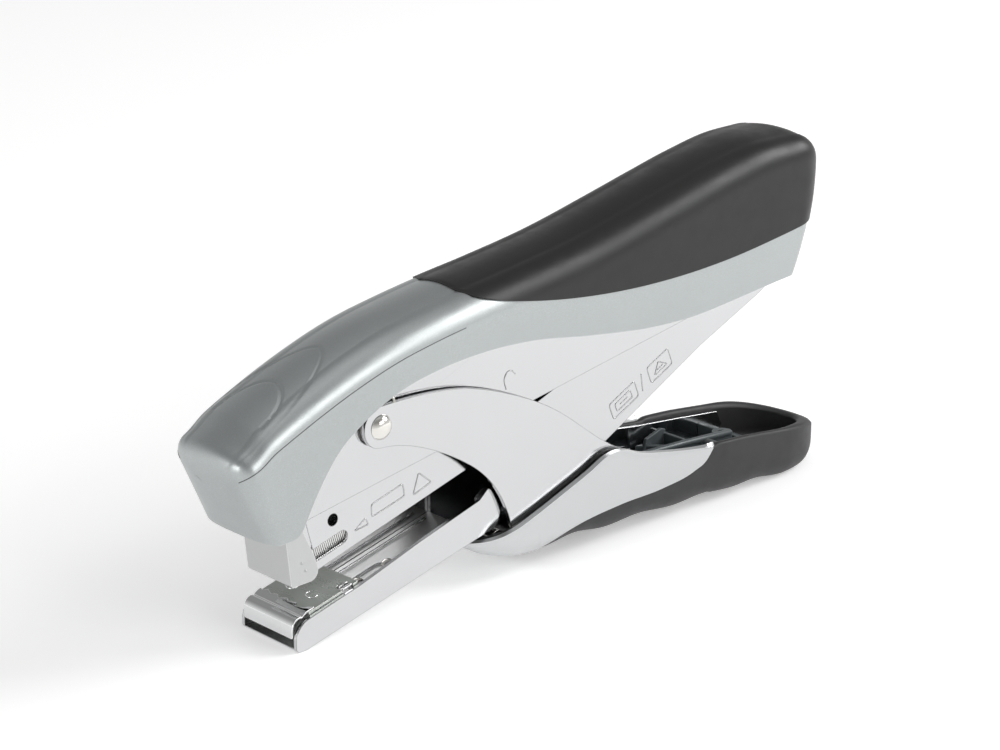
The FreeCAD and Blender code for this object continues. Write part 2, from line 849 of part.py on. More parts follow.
def lengthwise(label, half, low, high, start, length):
    """A body padded along the track from a symmetric section."""
    body = new_body(label)
    sketch = new_sketch(body, "section", "YZ_Plane", start)
    draw_section(sketch, half, low, high)
    extrude(body, sketch, length, symmetric=False)
    return body


def cut_lengthwise(body, name, half, low, high, start, length):
    sketch = new_sketch(body, name, "YZ_Plane", start)
    draw_section(sketch, half, low, high)
    return extrude(body, sketch, length, "Pocket", symmetric=False, flip=True)


def make_staple_rail():
    """The inverted channel that the staples ride on."""
    body = lengthwise(
        "staple_rail", "rail_half", "rail_foot", "rail_top", "rail_start", "rail_end - rail_start",
    )
    cut_lengthwise(
        body,
        "hollow",
        "rail_half - rail_wall",
        "rail_foot - 1",
        "rail_top - rail_wall",
        "rail_start - 1",
        "rail_end - rail_start + 2",
    )
    return on_track(body)


def make_staple_strip():
    """A glued strip of staples, legs down over the rail."""
    body = lengthwise(
        "staple_strip", "staple_half", "staple_foot", "staple_crown", "strip_start", "strip_length",
    )
    cut_lengthwise(
        body,
        "inside",
        "staple_inner",
        "staple_foot - 1",
        "staple_crown - staple_wire",
        "strip_start - 1",
        "strip_length + 2",
    )
    return on_track(body)


def make_pusher():
    """The saddle that pushes the strip, with a lug bored for its guide rod."""
    body = lengthwise(
        "staple_pusher", "pusher_half", "staple_foot", "pusher_top", "pusher_start", "pusher_length",
    )
    lug = new_sketch(body, "lug", "YZ_Plane", "pusher_start")
    draw_section(lug, "pusher_lug_half", "pusher_top - 0.5", "pusher_top + pusher_lug_height")
    extrude(body, lug, "pusher_length", symmetric=False)
    cut_lengthwise(
        body,
        "saddle",
        "rail_half + saddle_gap",
        "staple_foot - 1",
        "rail_top + 0.3",
        "pusher_start - 1",
        "pusher_length + 2",
    )
    bore = new_sketch(body, "bore", "YZ_Plane", "pusher_start - 1")
    draw_circle(bore, "0", "rod_z", "rod_radius + running_gap")
    extrude(body, bore, "pusher_length + 2", "Pocket", symmetric=False, flip=True)
    return on_track(body)


def make_rod_and_stop():
    """The guide rod over the rail, and the plate across the magazine that holds it."""
    rod = new_body("guide_rod")
    sketch = new_sketch(rod, "round", "YZ_Plane", "rod_start")
    draw_circle(sketch, "0", "rod_z", "rod_radius")
    extrude(rod, sketch, "rail_end + stop_thickness - rod_start", symmetric=False)
    stop = lengthwise("rod_stop", "magazine_inner", "rail_foot", "stop_top", "rail_end", "stop_thickness")
    bore = new_sketch(stop, "bore", "YZ_Plane", "rail_end - 1")
    draw_circle(bore, "0", "rod_z", "rod_radius")
    extrude(stop, bore, "stop_thickness + 2", "Pocket", symmetric=False, flip=True)
    return [on_track(rod), on_track(stop)]


def make_bridge():
    """The cross plate on the magazine that its return spring presses on."""
    seat = lengthwise(
        "spring_seat", "magazine_inner", "bridge_bottom", "bridge_top", "bridge_start", "bridge_length",
    )
    return on_track(seat)


def make_springs():
    """The return spring on the front rivet, the pusher spring and the magazine's lifter spring."""
    across = Placement(
        Vector(SIZES["rivet_x"], -SIZES["return_height"] / 2, SIZES["rivet_z"]),
        Rotation(Vector(1, 0, 0), -90),
    )
    returning = coil(
        "return_spring", "return_coil_radius", "return_wire", "return_pitch", "return_height", across,
    )
    track = Placement(
        Vector(SIZES["track_x"], 0, SIZES["track_z"]),
        Rotation(Vector(0, 1, 0), -SIZES["track_tilt"]),
    )
    start = SIZES["pusher_start"] + SIZES["pusher_length"] + SIZES["pusher_wire"] + SIZES["pusher_spring_gap"]
    along = track.multiply(Placement(Vector(start, 0, SIZES["rod_z"]), Rotation(Vector(0, 1, 0), 90)))
    pushing = coil(
        "pusher_spring",
        "pusher_coil_radius",
        "pusher_wire",
        "pusher_pitch",
        "rail_end - pusher_start - pusher_length - pusher_spring_play",
        along,
    )
    turned_start = Rotation(Vector(0, 0, 1), 40)
    upright = Placement(Vector(SIZES["lifter_x"], 0, SIZES["lifter_z"]), turned_start)
    lifting = coil(
        "magazine_spring", "lifter_coil_radius", "lifter_wire", "lifter_pitch", "lifter_height", upright,
    )
    return [returning, pushing, lifting]


def build():
    fill_sheet()
    nodes = []
    nodes += make_cover_and_grip()
    nodes.append(make_upper_frame())
    nodes.append(cover_pin_set("cover_pins"))
    nodes += make_driver()
    nodes += make_front_pivot()
    nodes.append(make_rear_pivot())
    nodes.append(make_link_plate("near_link_plate", -1))
    nodes.append(make_link_plate("far_link_plate", 1))
    nodes += make_lower_handle()
    nodes.append(make_handle_core())
    nodes += make_handle_fasteners()
    nodes.append(make_anvil_arm())
    nodes.append(make_anvil_plate())
    nodes.append(make_anvil_rivets())
    nodes.append(make_magazine_channel())
    nodes.append(make_nose_guard())
    nodes.append(make_staple_rail())
    nodes.append(make_staple_strip())
    nodes.append(make_pusher())
    nodes += make_rod_and_stop()
    nodes.append(make_bridge())
    nodes += make_springs()
    return nodes


def check(nodes):
    """Raises if anything failed to build."""
    doc.recompute()
    failed = [thing.Label for thing in doc.Objects if {"Invalid", "Error"} & set(thing.State)]
    if failed:
        raise RuntimeError(f"these objects failed: {failed}")
    for node in nodes:
        shape = node.Shape
        if shape.isNull() or not shape.isValid() or not shape.Solids:
            raise RuntimeError(f"{node.Label} has no valid solid")
        box = shape.BoundBox
        print(
            f"{node.Label:18s} solids {len(shape.Solids)} volume {shape.Volume:9.2f} "
            f"x {box.XMin:7.2f} {box.XMax:7.2f} y {box.YMin:6.2f} {box.YMax:6.2f} "
            f"z {box.ZMin:6.2f} {box.ZMax:6.2f}"
        )


def export(nodes):
    os.makedirs("parts", exist_ok=True)
    for node in nodes:
        node.Shape.exportStep(f"parts/{node.Label}.step")


sub_parts = build()
check(sub_parts)
export(sub_parts)
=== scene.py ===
import math

import bmesh
import bpy
import numpy as np
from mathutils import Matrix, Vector


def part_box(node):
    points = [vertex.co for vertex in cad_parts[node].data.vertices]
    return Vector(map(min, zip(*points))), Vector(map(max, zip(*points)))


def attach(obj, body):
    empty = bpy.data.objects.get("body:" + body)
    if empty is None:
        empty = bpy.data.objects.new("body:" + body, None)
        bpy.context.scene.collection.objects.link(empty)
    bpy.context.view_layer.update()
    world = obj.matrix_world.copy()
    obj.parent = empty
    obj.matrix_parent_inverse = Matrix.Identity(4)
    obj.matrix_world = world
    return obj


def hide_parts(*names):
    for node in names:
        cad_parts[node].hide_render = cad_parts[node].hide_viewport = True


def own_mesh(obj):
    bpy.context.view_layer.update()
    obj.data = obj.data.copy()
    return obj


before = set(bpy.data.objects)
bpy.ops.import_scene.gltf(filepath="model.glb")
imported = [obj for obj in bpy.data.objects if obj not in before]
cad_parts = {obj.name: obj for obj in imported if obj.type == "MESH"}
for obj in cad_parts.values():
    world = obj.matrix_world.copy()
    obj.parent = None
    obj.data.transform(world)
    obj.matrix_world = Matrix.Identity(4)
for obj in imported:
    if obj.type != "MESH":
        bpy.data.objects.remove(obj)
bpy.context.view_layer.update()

MM = 0.001
TILT = math.radians(14.9)


# ---------------------------------------------------------------- curves
def hermite(keys, values, at):
    """Smooth values, at the places asked for, through rows of values at keys."""
    key = np.asarray(keys, float)
    value = np.asarray(values, float)
    if value.ndim == 1:
        value = value[:, None]
    gap = np.diff(key)[:, None]
    slope = np.diff(value, axis=0) / gap
    tangent = np.empty_like(value)
    tangent[0] = slope[0]
    tangent[-1] = slope[-1]
    tangent[1:-1] = (slope[1:] * gap[:-1] + slope[:-1] * gap[1:]) / (gap[1:] + gap[:-1])
    where = np.atleast_1d(np.asarray(at, float))
    i = np.clip(np.searchsorted(key, where, side="right") - 1, 0, len(gap) - 1)
    u = ((where - key[i]) / gap[i, 0])[:, None]
    h = gap[i]
    return (
        (2 * u**3 - 3 * u**2 + 1) * value[i]
        + (u**3 - 2 * u**2 + u) * h * tangent[i]
        + (3 * u**2 - 2 * u**3) * value[i + 1]
        + (u**3 - u**2) * h * tangent[i + 1]
    )


def floor_clear(height):
    """Keeps a height at or above the ground."""
    return max(height, 0.0)


def line_height(points, at):
    """Height of a smooth side-view line, given as (x, z) points, at the places asked for."""
    line = np.array(points, float)
    return hermite(line[:, 0], line[:, 1], at)[:, 0]


def lengths(points):
    """Distance run along a line of points."""
    return np.r_[0, np.cumsum(np.linalg.norm(np.diff(points, axis=0), axis=1))]


def resample(points, count):
    """count points evenly spaced along a line of points."""
    points = np.asarray(points, float)
    run = lengths(points)
    even = np.linspace(0, run[-1], count)
    return np.stack([np.interp(even, run, column) for column in points.T], axis=1)


def smooth_path(points, count):
    """count even points on a smooth curve through the points."""
    points = np.asarray(points, float)
    run = lengths(points)
    dense = hermite(run, points, np.linspace(0, run[-1], 12 * len(points)))
    return resample(dense, count)


# ---------------------------------------------------------------- materials
def nodes_of(name):
    """A new node material, its tree and its shader."""
    made = bpy.data.materials.new(name)
    made.use_nodes = True
    tree = made.node_tree
    return made, tree, tree.nodes["Principled BSDF"]


def socket(node, name):
    """A node's input by name."""
    return node.inputs[name]


def ranged(tree, source, low, high, out_low, out_high):
    """source, remapped from low..high to out_low..out_high."""
    node = tree.nodes.new("ShaderNodeMapRange")
    socket(node, "From Min").default_value = low
    socket(node, "From Max").default_value = high
    socket(node, "To Min").default_value = out_low
    socket(node, "To Max").default_value = out_high
    tree.links.new(source, socket(node, "Value"))
    return node.outputs["Result"]


def noise(tree, size, detail=3.0, stretch=(1, 1, 1), rough=0.55):
    """Noise whose features are about size millimetres, stretched along the axes by stretch."""
    place = tree.nodes.new("ShaderNodeTexCoord")
    mapping = tree.nodes.new("ShaderNodeMapping")
    socket(mapping, "Scale").default_value = [1 / s for s in stretch]
    tree.links.new(place.outputs["Object"], socket(mapping, "Vector"))
    node = tree.nodes.new("ShaderNodeTexNoise")
    socket(node, "Scale").default_value = 1 / (size * MM)
    socket(node, "Detail").default_value = detail
    socket(node, "Roughness").default_value = rough
    tree.links.new(mapping.outputs["Vector"], socket(node, "Vector"))
    return node.outputs["Fac"]


def mixed(tree, factor, colour_a, colour_b):
    """Colour between two colours or sockets by factor."""
    node = tree.nodes.new("ShaderNodeMix")
    node.data_type = "RGBA"
    tree.links.new(factor, node.inputs[0])
    for slot, colour in ((6, colour_a), (7, colour_b)):
        if isinstance(colour, tuple):
            node.inputs[slot].default_value = (*colour, 1)
        else:
            tree.links.new(colour, node.inputs[slot])
    return node.outputs[2]


def edge_mask(tree, radius):
    """1 on edges sharper than the radius in millimetres, 0 on flats."""
    soft = tree.nodes.new("ShaderNodeBevel")
    soft.samples = 4
    socket(soft, "Radius").default_value = radius * MM
    true = tree.nodes.new("ShaderNodeNewGeometry")
    dot = tree.nodes.new("ShaderNodeVectorMath")
    dot.operation = "DOT_PRODUCT"
    tree.links.new(soft.outputs["Normal"], dot.inputs[0])
    tree.links.new(true.outputs["Normal"], dot.inputs[1])
    return ranged(tree, dot.outputs["Value"], 0.995, 0.85, 0, 1)


def bumped(tree, height, depth, under=None):
    """Bump of depth millimetres from a height socket, over another bump if given."""
    node = tree.nodes.new("ShaderNodeBump")
    socket(node, "Distance").default_value = depth * MM
    socket(node, "Strength").default_value = 1.0
    tree.links.new(height, socket(node, "Height"))
    if under is not None:
        tree.links.new(under, socket(node, "Normal"))
    return node.outputs["Normal"]


def finish_look(
    name, colour, metallic, rough, spread=0.05, tint=0.04, grain=0.4, depth=0.004,
    stretch=(1, 1, 1), edge_tone_and_shade=None, edge_tone_and_shade_radius=0.35, coat=0.0, coat_rough=0.1,
    blotch=9.0, specular=0.5, second=None,
):
    """A moulded, painted or plated finish: colour drift, patchy roughness, fine grain, and a colour
    along sharp edges that is lighter on most finishes and a painted dark shadow line on the nickel.
    """
    made, tree, shader = nodes_of(name)
    low = tuple(c * (1 - tint) for c in colour)
    high = tuple(min(1.0, c * (1 + tint)) for c in colour)
    base = mixed(tree, noise(tree, blotch, 4), low, high)
    if second is not None:
        fleck = ranged(tree, noise(tree, 0.12, 1), 0.5, 0.72, 0, 1)
        base = mixed(tree, fleck, base, second)
    # sharp edges take the edge colour: lighter on most finishes, painted shade (a dark shadow line) on
    # the nickel
    if edge_tone_and_shade is not None:
        base = mixed(tree, edge_mask(tree, edge_tone_and_shade_radius), base, edge_tone_and_shade)
    tree.links.new(base, socket(shader, "Base Color"))
    patchy = noise(tree, blotch * 0.45, 5, stretch)
    tree.links.new(
        ranged(tree, patchy, 0.3, 0.7, rough - spread, rough + spread), socket(shader, "Roughness")
    )
    fine = bumped(tree, noise(tree, grain, 2, stretch), depth)
    tree.links.new(fine, socket(shader, "Normal"))
    socket(shader, "Metallic").default_value = metallic
    socket(shader, "Specular IOR Level").default_value = specular
    if coat:
        socket(shader, "Coat Weight").default_value = coat
        socket(shader, "Coat Roughness").default_value = coat_rough
    return made


SILVER = finish_look(
    "satin_silver_lacquer", (0.415, 0.440, 0.440), 0.85, 0.37, spread=0.025, grain=0.25, depth=0.0022,
    edge_tone_and_shade=(0.56, 0.58, 0.58), second=(0.53, 0.555, 0.555), coat=0.12, coat_rough=0.25,
)
# dark grey painted shade for the cover's parting groove, drawn as thin bars instead of a groove
SEAM_SHADE = finish_look(
    "painted_seam_shade", (0.10, 0.105, 0.105), 0.3, 0.5, spread=0.03, grain=0.4, depth=0.001,
    edge_tone_and_shade=(0.14, 0.145, 0.145),
)
SHELL_SILVER = finish_look(
    "light_silver_lacquer", (0.575, 0.585, 0.59), 0.85, 0.30, spread=0.012, tint=0.02, grain=0.25,
    depth=0.002, edge_tone_and_shade=(0.7, 0.71, 0.71), second=(0.62, 0.63, 0.635), coat=0.12, coat_rough=0.2,
)
BLACK_RUBBER = finish_look(
    "black_soft_rubber", (0.0075, 0.0073, 0.0073), 0.0, 0.41, spread=0.05, tint=0.15, grain=0.3,
    depth=0.006, edge_tone_and_shade=(0.022, 0.0215, 0.0215), specular=0.46,
)
GREY_RUBBER = finish_look(
    "dark_grey_rubber", (0.021, 0.021, 0.022), 0.0, 0.52, spread=0.05, tint=0.12, grain=0.3,
    depth=0.007, edge_tone_and_shade=(0.07, 0.07, 0.072), specular=0.5,
)
# the dark edge colour (0.1) is painted shade: a thin shadow line along every nickel edge, standing in
# for the shade in the gaps between frame, link plates, arm and magazine
NICKEL = finish_look(
    "bright_nickel", (0.64, 0.643, 0.65), 1.0, 0.15, spread=0.03, tint=0.02, grain=0.5, depth=0.001,
    stretch=(5, 1, 1), edge_tone_and_shade=(0.1, 0.1, 0.105), edge_tone_and_shade_radius=0.3, blotch=14,
)
CHROME = finish_look(
    "polished_chrome", (0.80, 0.81, 0.81), 1.0, 0.08, spread=0.03, tint=0.02, grain=1.2, depth=0.002,
    edge_tone_and_shade=(0.92, 0.92, 0.92), blotch=12,
)
RIVET_NICKEL = finish_look(
    "rivet_nickel", (0.78, 0.76, 0.72), 1.0, 0.18, spread=0.05, grain=0.6, depth=0.003,
    edge_tone_and_shade=(0.9, 0.89, 0.86), blotch=3,
)
ANVIL_STEEL = finish_look(
    "anvil_steel", (0.56, 0.59, 0.55), 1.0, 0.30, spread=0.08, tint=0.08, grain=0.35, depth=0.004,
    stretch=(1, 4, 1), edge_tone_and_shade=(0.8, 0.8, 0.78), blotch=5,
)
DARK_STEEL = finish_look(
    "driver_steel", (0.42, 0.42, 0.41), 1.0, 0.28, spread=0.08, tint=0.08, grain=0.4, depth=0.003,
    edge_tone_and_shade=(0.7, 0.7, 0.69), blotch=4,
)
SPRING_STEEL = finish_look(
    "spring_wire", (0.5, 0.49, 0.46), 1.0, 0.25, spread=0.06, tint=0.06, grain=0.3, depth=0.003,
    edge_tone_and_shade=(0.7, 0.69, 0.66), edge_tone_and_shade_radius=0.1, blotch=2,
)
STAPLE_WIRE = finish_look(
    "staple_wire", (0.72, 0.72, 0.71), 1.0, 0.24, spread=0.06, tint=0.05, grain=0.2, depth=0.003,
    edge_tone_and_shade=(0.85, 0.85, 0.84), edge_tone_and_shade_radius=0.1, blotch=1.5,
)
NOSE_PLASTIC = finish_look(
    "nose_plastic", (0.52, 0.525, 0.525), 0.3, 0.40, spread=0.04, tint=0.03, grain=0.3, depth=0.004,
    edge_tone_and_shade=(0.75, 0.76, 0.76), blotch=6,
)
HOLDER_PLASTIC = finish_look(
    "holder_plastic", (0.10, 0.10, 0.105), 0.0, 0.48, spread=0.05, tint=0.08, grain=0.4, depth=0.006,
    edge_tone_and_shade=(0.16, 0.16, 0.165),
)
WASHER_NYLON = finish_look(
    "washer_nylon", (0.62, 0.60, 0.55), 0.0, 0.42, spread=0.05, grain=0.4, depth=0.004,
    edge_tone_and_shade=(0.75, 0.73, 0.68), blotch=3,
)
CORE_PLASTIC = finish_look(
    "core_plastic", (0.085, 0.10, 0.105), 0.15, 0.36, spread=0.06, tint=0.1, grain=0.5, depth=0.006,
    edge_tone_and_shade=(0.2, 0.22, 0.23), blotch=8,
)
PUSHER_PLASTIC = finish_look(
    "pusher_plastic", (0.05, 0.05, 0.052), 0.0, 0.42, spread=0.05, tint=0.1, grain=0.4, depth=0.005,
    edge_tone_and_shade=(0.09, 0.09, 0.095),
)


# ---------------------------------------------------------------- making pieces
def rounding(obj, width, segments=2, angle=32, weld=False):
    """Rounds edges sharper than angle and keeps the flats' shading flat."""
    if weld:
        merge = obj.modifiers.new("weld", "WELD")
        merge.merge_threshold = 0.002 * MM
    if width:
        soft = obj.modifiers.new("round", "BEVEL")
        soft.width = width * MM
        soft.segments = segments
        soft.limit_method = "ANGLE"
        soft.angle_limit = math.radians(angle)
        soft.use_clamp_overlap = True
    normals = obj.modifiers.new("normals", "WEIGHTED_NORMAL")
    normals.keep_sharp = True


def piece(name, verts, faces, look, body, replaces=(), closed=True, wall=0.0, edge=0.0, angle=32):
    """A mesh from points in millimetres, with its wall, edge rounding, body and finish."""
    mesh = bpy.data.meshes.new(name)
    mesh.from_pydata((np.asarray(verts, float) * MM).tolist(), [], faces)
    work = bmesh.new()
    work.from_mesh(mesh)
    bmesh.ops.remove_doubles(work, verts=work.verts, dist=0.002 * MM)
    bmesh.ops.dissolve_degenerate(work, edges=work.edges, dist=0.002 * MM)
    bmesh.ops.delete(work, geom=[v for v in work.verts if not v.link_faces], context="VERTS")
    if closed:
        bmesh.ops.recalc_face_normals(work, faces=work.faces)
    for face in work.faces:
        face.smooth = True
    work.to_mesh(mesh)
    work.free()
    mesh.materials.append(look)
    obj = bpy.data.objects.new(name, mesh)
    bpy.context.scene.collection.objects.link(obj)
    if wall:
        thick = obj.modifiers.new("wall", "SOLIDIFY")
        thick.thickness = wall * MM
        thick.offset = -1
        thick.use_rim = True
    rounding(obj, edge, angle=angle)
    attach(obj, body)
    if replaces:
        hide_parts(*replaces)
    return obj


def end_faces(rows, columns, start=0):
    """Quads that close the narrow first and last sections of an inverted U grid."""
    faces = []
    for first, front in ((start, True), (start + (rows - 1) * columns, False)):
        for c in range(columns // 2):
            quad = (first + c, first + c + 1, first + columns - 2 - c, first + columns - 1 - c)
            faces.append(quad if front else quad[::-1])
    return faces


def grid_faces(rows, columns, outward=True, start=0, keep=None):
    """Quads of a grid of points numbered row by row from start."""
    faces = []
    for r in range(rows - 1):
        for c in range(columns - 1):
            if keep is not None and not keep[r, c]:
                continue
            a = start + r * columns + c
            quad = (a, a + columns, a + columns + 1, a + 1)
            faces.append(quad if outward else quad[::-1])
    return faces


def tube_mesh(path, radius, sides=10, closed=False, squash=(1, 1)):
    """Points and faces of a round bar along a path."""
    path = np.asarray(path, float)
    count = len(path)
    ahead = np.roll(path, -1, axis=0)
    behind = np.roll(path, 1, axis=0)
    if not closed:
        ahead[-1] = path[-1]
        behind[0] = path[0]
    along = ahead - behind
    along /= np.linalg.norm(along, axis=1)[:, None]
    side = np.cross(along[0], (0.13, 0.97, 0.21))
    verts = []
    for i in range(count):
        side = side - along[i] * (side @ along[i])
        side /= np.linalg.norm(side)
        third = np.cross(along[i], side)
        for k in range(sides):
            turn = 2 * math.pi * k / sides
            spoke = math.cos(turn) * side * squash[0] + math.sin(turn) * third * squash[1]
            verts.append(path[i] + radius * spoke)
    faces = []
    for i in range(count if closed else count - 1):
        for k in range(sides):
            a = i * sides
            b = (i + 1) % count * sides
            faces.append((a + k, b + k, b + (k + 1) % sides, a + (k + 1) % sides))
    if not closed:
        faces.append(tuple(range(sides)))
        faces.append(tuple(range((count - 1) * sides, count * sides)))
    return verts, faces


def bars(name, paths, radius, look, body, sides=10, closed=False, replaces=(), squash=(1, 1)):
    """One piece from several round bars."""
    verts = []
    faces = []
    for path in paths:
        more, sides_of = tube_mesh(path, radius, sides, closed, squash)
        faces += [tuple(len(verts) + i for i in face) for face in sides_of]
        verts += more
    return piece(name, verts, faces, look, body, replaces)


def prism_mesh(outline, low, high):
    """Points and faces of a side-view outline extruded from y low to y high."""
    count = len(outline)
    verts = [(x, y, z) for y in (low, high) for x, z in outline]
    faces = [tuple(range(count)), tuple(range(count, 2 * count))[::-1]]
    faces += [(i, (i + 1) % count, count + (i + 1) % count, count + i) for i in range(count)]
    return verts, faces


def prisms(name, parts, look, body, edge=0.15, replaces=()):
    """One piece from several extruded outlines, each (outline, low y, high y)."""
    verts = []
    faces = []
    for outline, low, high in parts:
        more, sides_of = prism_mesh(outline, low, high)
        faces += [tuple(len(verts) + i for i in face) for face in sides_of]
        verts += more
    return piece(name, verts, faces, look, body, replaces, edge=edge)


def dress(node, look, edge=0.1):
    """Gives a CAD node its finish and fine rounded edges."""
    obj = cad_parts[node]
    for material_slot in obj.material_slots:
        material_slot.material = look
    rounding(obj, edge, weld=True)


# ---------------------------------------------------------------- upper cover
# bottom edge x, z; top line x, z; half width at the bottom, at the top; shoulder; rearward bow
COVER = np.array([
    (-89.8, 27.9, -99.3, 47.9, 12.2, 13.1, 5.2, 0.0),
    (-86.4, 27.8, -94.2, 50.2, 12.2, 13.1, 5.4, 0.0),
    (-81.6, 28.6, -89.8, 53.4, 12.1, 13.0, 5.6, 0.0),
    (-79.2, 32.5, -86.5, 55.2, 12.2, 13.0, 5.8, 0.0),
    (-76.7, 36.8, -82.5, 57.1, 12.3, 13.0, 6.0, 0.0),
    (-70.5, 45.0, -75.0, 60.4, 12.6, 13.0, 6.3, 0.0),
    (-64.6, 49.3, -68.0, 63.1, 12.8, 13.0, 6.5, 0.0),
    (-52.7, 54.6, -54.0, 67.3, 13.0, 13.1, 6.7, 0.0),
    (-42.7, 56.6, -43.0, 69.4, 13.1, 13.1, 6.8, 0.0),
    (-29.8, 57.6, -29.8, 71.4, 13.2, 13.1, 7.0, 0.0),
    (-15.2, 57.0, -15.2, 73.2, 13.2, 13.1, 7.2, 0.0),
    (4.9, 53.9, 4.9, 76.1, 13.2, 13.1, 7.3, 0.0),
    (26.2, 51.3, 26.2, 80.6, 13.2, 13.1, 7.4, 0.0),
    (38.4, 50.9, 38.4, 83.3, 13.2, 13.1, 7.3, 0.0),
    (53.4, 51.9, 54.5, 86.7, 13.2, 13.1, 7.2, 0.3),
    (65.5, 53.0, 67.5, 88.5, 13.2, 13.1, 6.6, 1.2),
    (72.8, 53.6, 77.0, 88.54, 13.2, 13.1, 6.0, 2.2),
    (79.2, 53.9, 86.4, 88.52, 13.0, 12.9, 5.4, 3.4),
])
COVER_WALL = 1.2
FRONT_DEPTH = 4.4
REAR_DEPTH = 7.0
# side-view line of the black grip's lower edge
GRIP_EDGE = [
    (-34, 71.4), (-31.6, 71.05), (-30.4, 70.4), (-28.0, 69.5), (-24.0, 68.4), (-14.8, 66.4),
    (9.8, 63.0), (28.3, 62.1), (51.4, 62.8), (71.5, 65.0), (95, 68.5),
]
# the cap at the front, and the points up a wall, round its shoulder and along half the top
CAP_ROWS = 30
WALL_POINTS = 14
ARC_POINTS = 20
TOP_POINTS = 40

middle = (COVER[:, 0:2] + COVER[:, 2:4]) / 2
COVER_RUN = lengths(middle)
COVER_LENGTH = COVER_RUN[-1]
HALF = 12.9
SLIT = 0.35


def cap_rows(depth, power, count):
    """(distance behind the end, inset) down a rounded end, from its middle to full width."""
    turn = np.linspace(0, math.pi / 2, 200)
    wide = np.sin(turn) ** (2 / power)
    deep = depth * (1 - np.cos(turn) ** (2 / power))
    return resample(np.stack([deep, (HALF - SLIT) * (1 - wide)], axis=1), count)


def cover_rows(body_steps):
    """(place along the cover, inset) of each section from front to rear."""
    front = cap_rows(FRONT_DEPTH, 2.7, CAP_ROWS)
    rear = cap_rows(REAR_DEPTH, 2.9, 24)[::-1]
    rear[:, 0] = COVER_LENGTH - rear[:, 0]
    body = np.stack([body_steps, np.zeros(len(body_steps))], axis=1)
    return np.vstack([front, body, rear])


def cover_section(place, inset, proud=0.0):
    """Inverted U of points across the cover, from the near bottom edge to the far one."""
    bx, bz, tx, tz, half_low, half_high, shoulder, bow = hermite(COVER_RUN, COVER, place)[0]
    full = math.hypot(tx - bx, tz - bz)
    height = full - inset + proud
    half = max(half_high - inset, 0.0) + (proud if inset < HALF else 0)
    r = max(min(shoulder - inset * 0.6, half * 0.95, height * 0.6), 0.01)
    crown = min(0.75, half * 0.06)
    up = np.linspace(0, height - crown - r, WALL_POINTS)
    wall = np.stack([np.full(WALL_POINTS, -half), up], axis=1)
    turn = np.linspace(0, math.pi / 2, ARC_POINTS)[1:]
    power = 2 / 2.08
    arc = np.stack([
        -(half - r) - r * np.cos(turn) ** power,
        height - crown - r + r * np.sin(turn) ** power,
    ], axis=1)
    across = np.linspace(1, 0, TOP_POINTS)[1:]
    flat = np.stack([-(half - r) * across, height - crown * across**2], axis=1)
    side = np.vstack([wall, arc, flat])
    both = np.vstack([side, side[-2::-1] * (-1, 1)])
    share = both[:, 1] / full
    y = both[:, 0] * (half_low + (half_high - half_low) * np.clip(share, 0, 1)) / half_high
    ux, uz = (tx - bx) / full, (tz - bz) / full
    lean = bow * 4 * share * (1 - share)
    return np.stack([bx + ux * both[:, 1] + uz * lean, y, bz + uz * both[:, 1] - ux * lean], axis=1)


def distance_to(path, x, y):
    """Least distance in plan from each point to a path."""
    best = np.full(x.shape, 1e9)
    for (ax, ay), (bx, by) in zip(path[:-1], path[1:]):
        dx, dy = bx - ax, by - ay
        t = np.clip(((x - ax) * dx + (y - ay) * dy) / (dx * dx + dy * dy), 0, 1)
        best = np.minimum(best, np.hypot(x - ax - t * dx, y - ay - t * dy))
    return best


body_steps = np.r_[
    np.arange(FRONT_DEPTH + 0.4, 42, 0.4),
    np.arange(42, COVER_LENGTH - REAR_DEPTH - 1, 1.8),
]
rows = cover_rows(body_steps)
cover = np.array([cover_section(place, inset) for place, inset in rows])

# plan lines of the shallow arch pressed into the front of the top, and of the tongue within it
ARCH_END = -65.4
ARCH_POINTS = 40
ARCH = smooth_path(
    [
        (-95.3, -9.6), (-90.8, -10.0), (-86.4, -9.9), (-81.9, -9.3), (-75.7, -7.6), (-70.4, -5.2),
        (-66.8, -2.5), (ARCH_END, 0),
    ],
    ARCH_POINTS,
)
ARCH = np.vstack([ARCH, ARCH[-2::-1] * (1, -1)])
turn = np.linspace(-math.pi / 2, math.pi / 2, 40)
TONGUE = np.stack([-88.2 + 10.2 * np.cos(turn), 8.0 * np.sin(turn)], axis=1)
top_x, top_y = cover[:, :, 0], cover[:, :, 1]
SIDE_COLUMNS = 20  # the grooves stay off these columns at each bottom edge
on_top = np.zeros(cover.shape[:2])
on_top[:, SIDE_COLUMNS:-SIDE_COLUMNS] = 1
arch_gap = distance_to(ARCH, top_x, top_y)
tongue_gap = distance_to(TONGUE, top_x, top_y)
arch_half = np.interp(top_x, ARCH[:ARCH_POINTS, 0], -ARCH[:ARCH_POINTS, 1])
inside = (np.abs(top_y) < arch_half) & (top_x < ARCH_END)
groove = 0.24 * np.exp(-((arch_gap / 0.3) ** 2))
groove = groove + 0.12 * inside * (1 - np.exp(-((arch_gap / 0.45) ** 2)))
groove += 0.30 * np.exp(-((tongue_gap / 0.3) ** 2))
cover[:, :, 2] -= groove * on_top * 0.93
cover[:, :, 0] += groove * on_top * 0.36

count_rows, count_columns = cover.shape[:2]
piece(
    "cover_skin", cover.reshape(-1, 3),
    grid_faces(count_rows, count_columns) + end_faces(count_rows, count_columns),
    SILVER, "upper_body", ["upper_cover"],
    closed=False, wall=COVER_WALL, edge=0.3, angle=50,
)

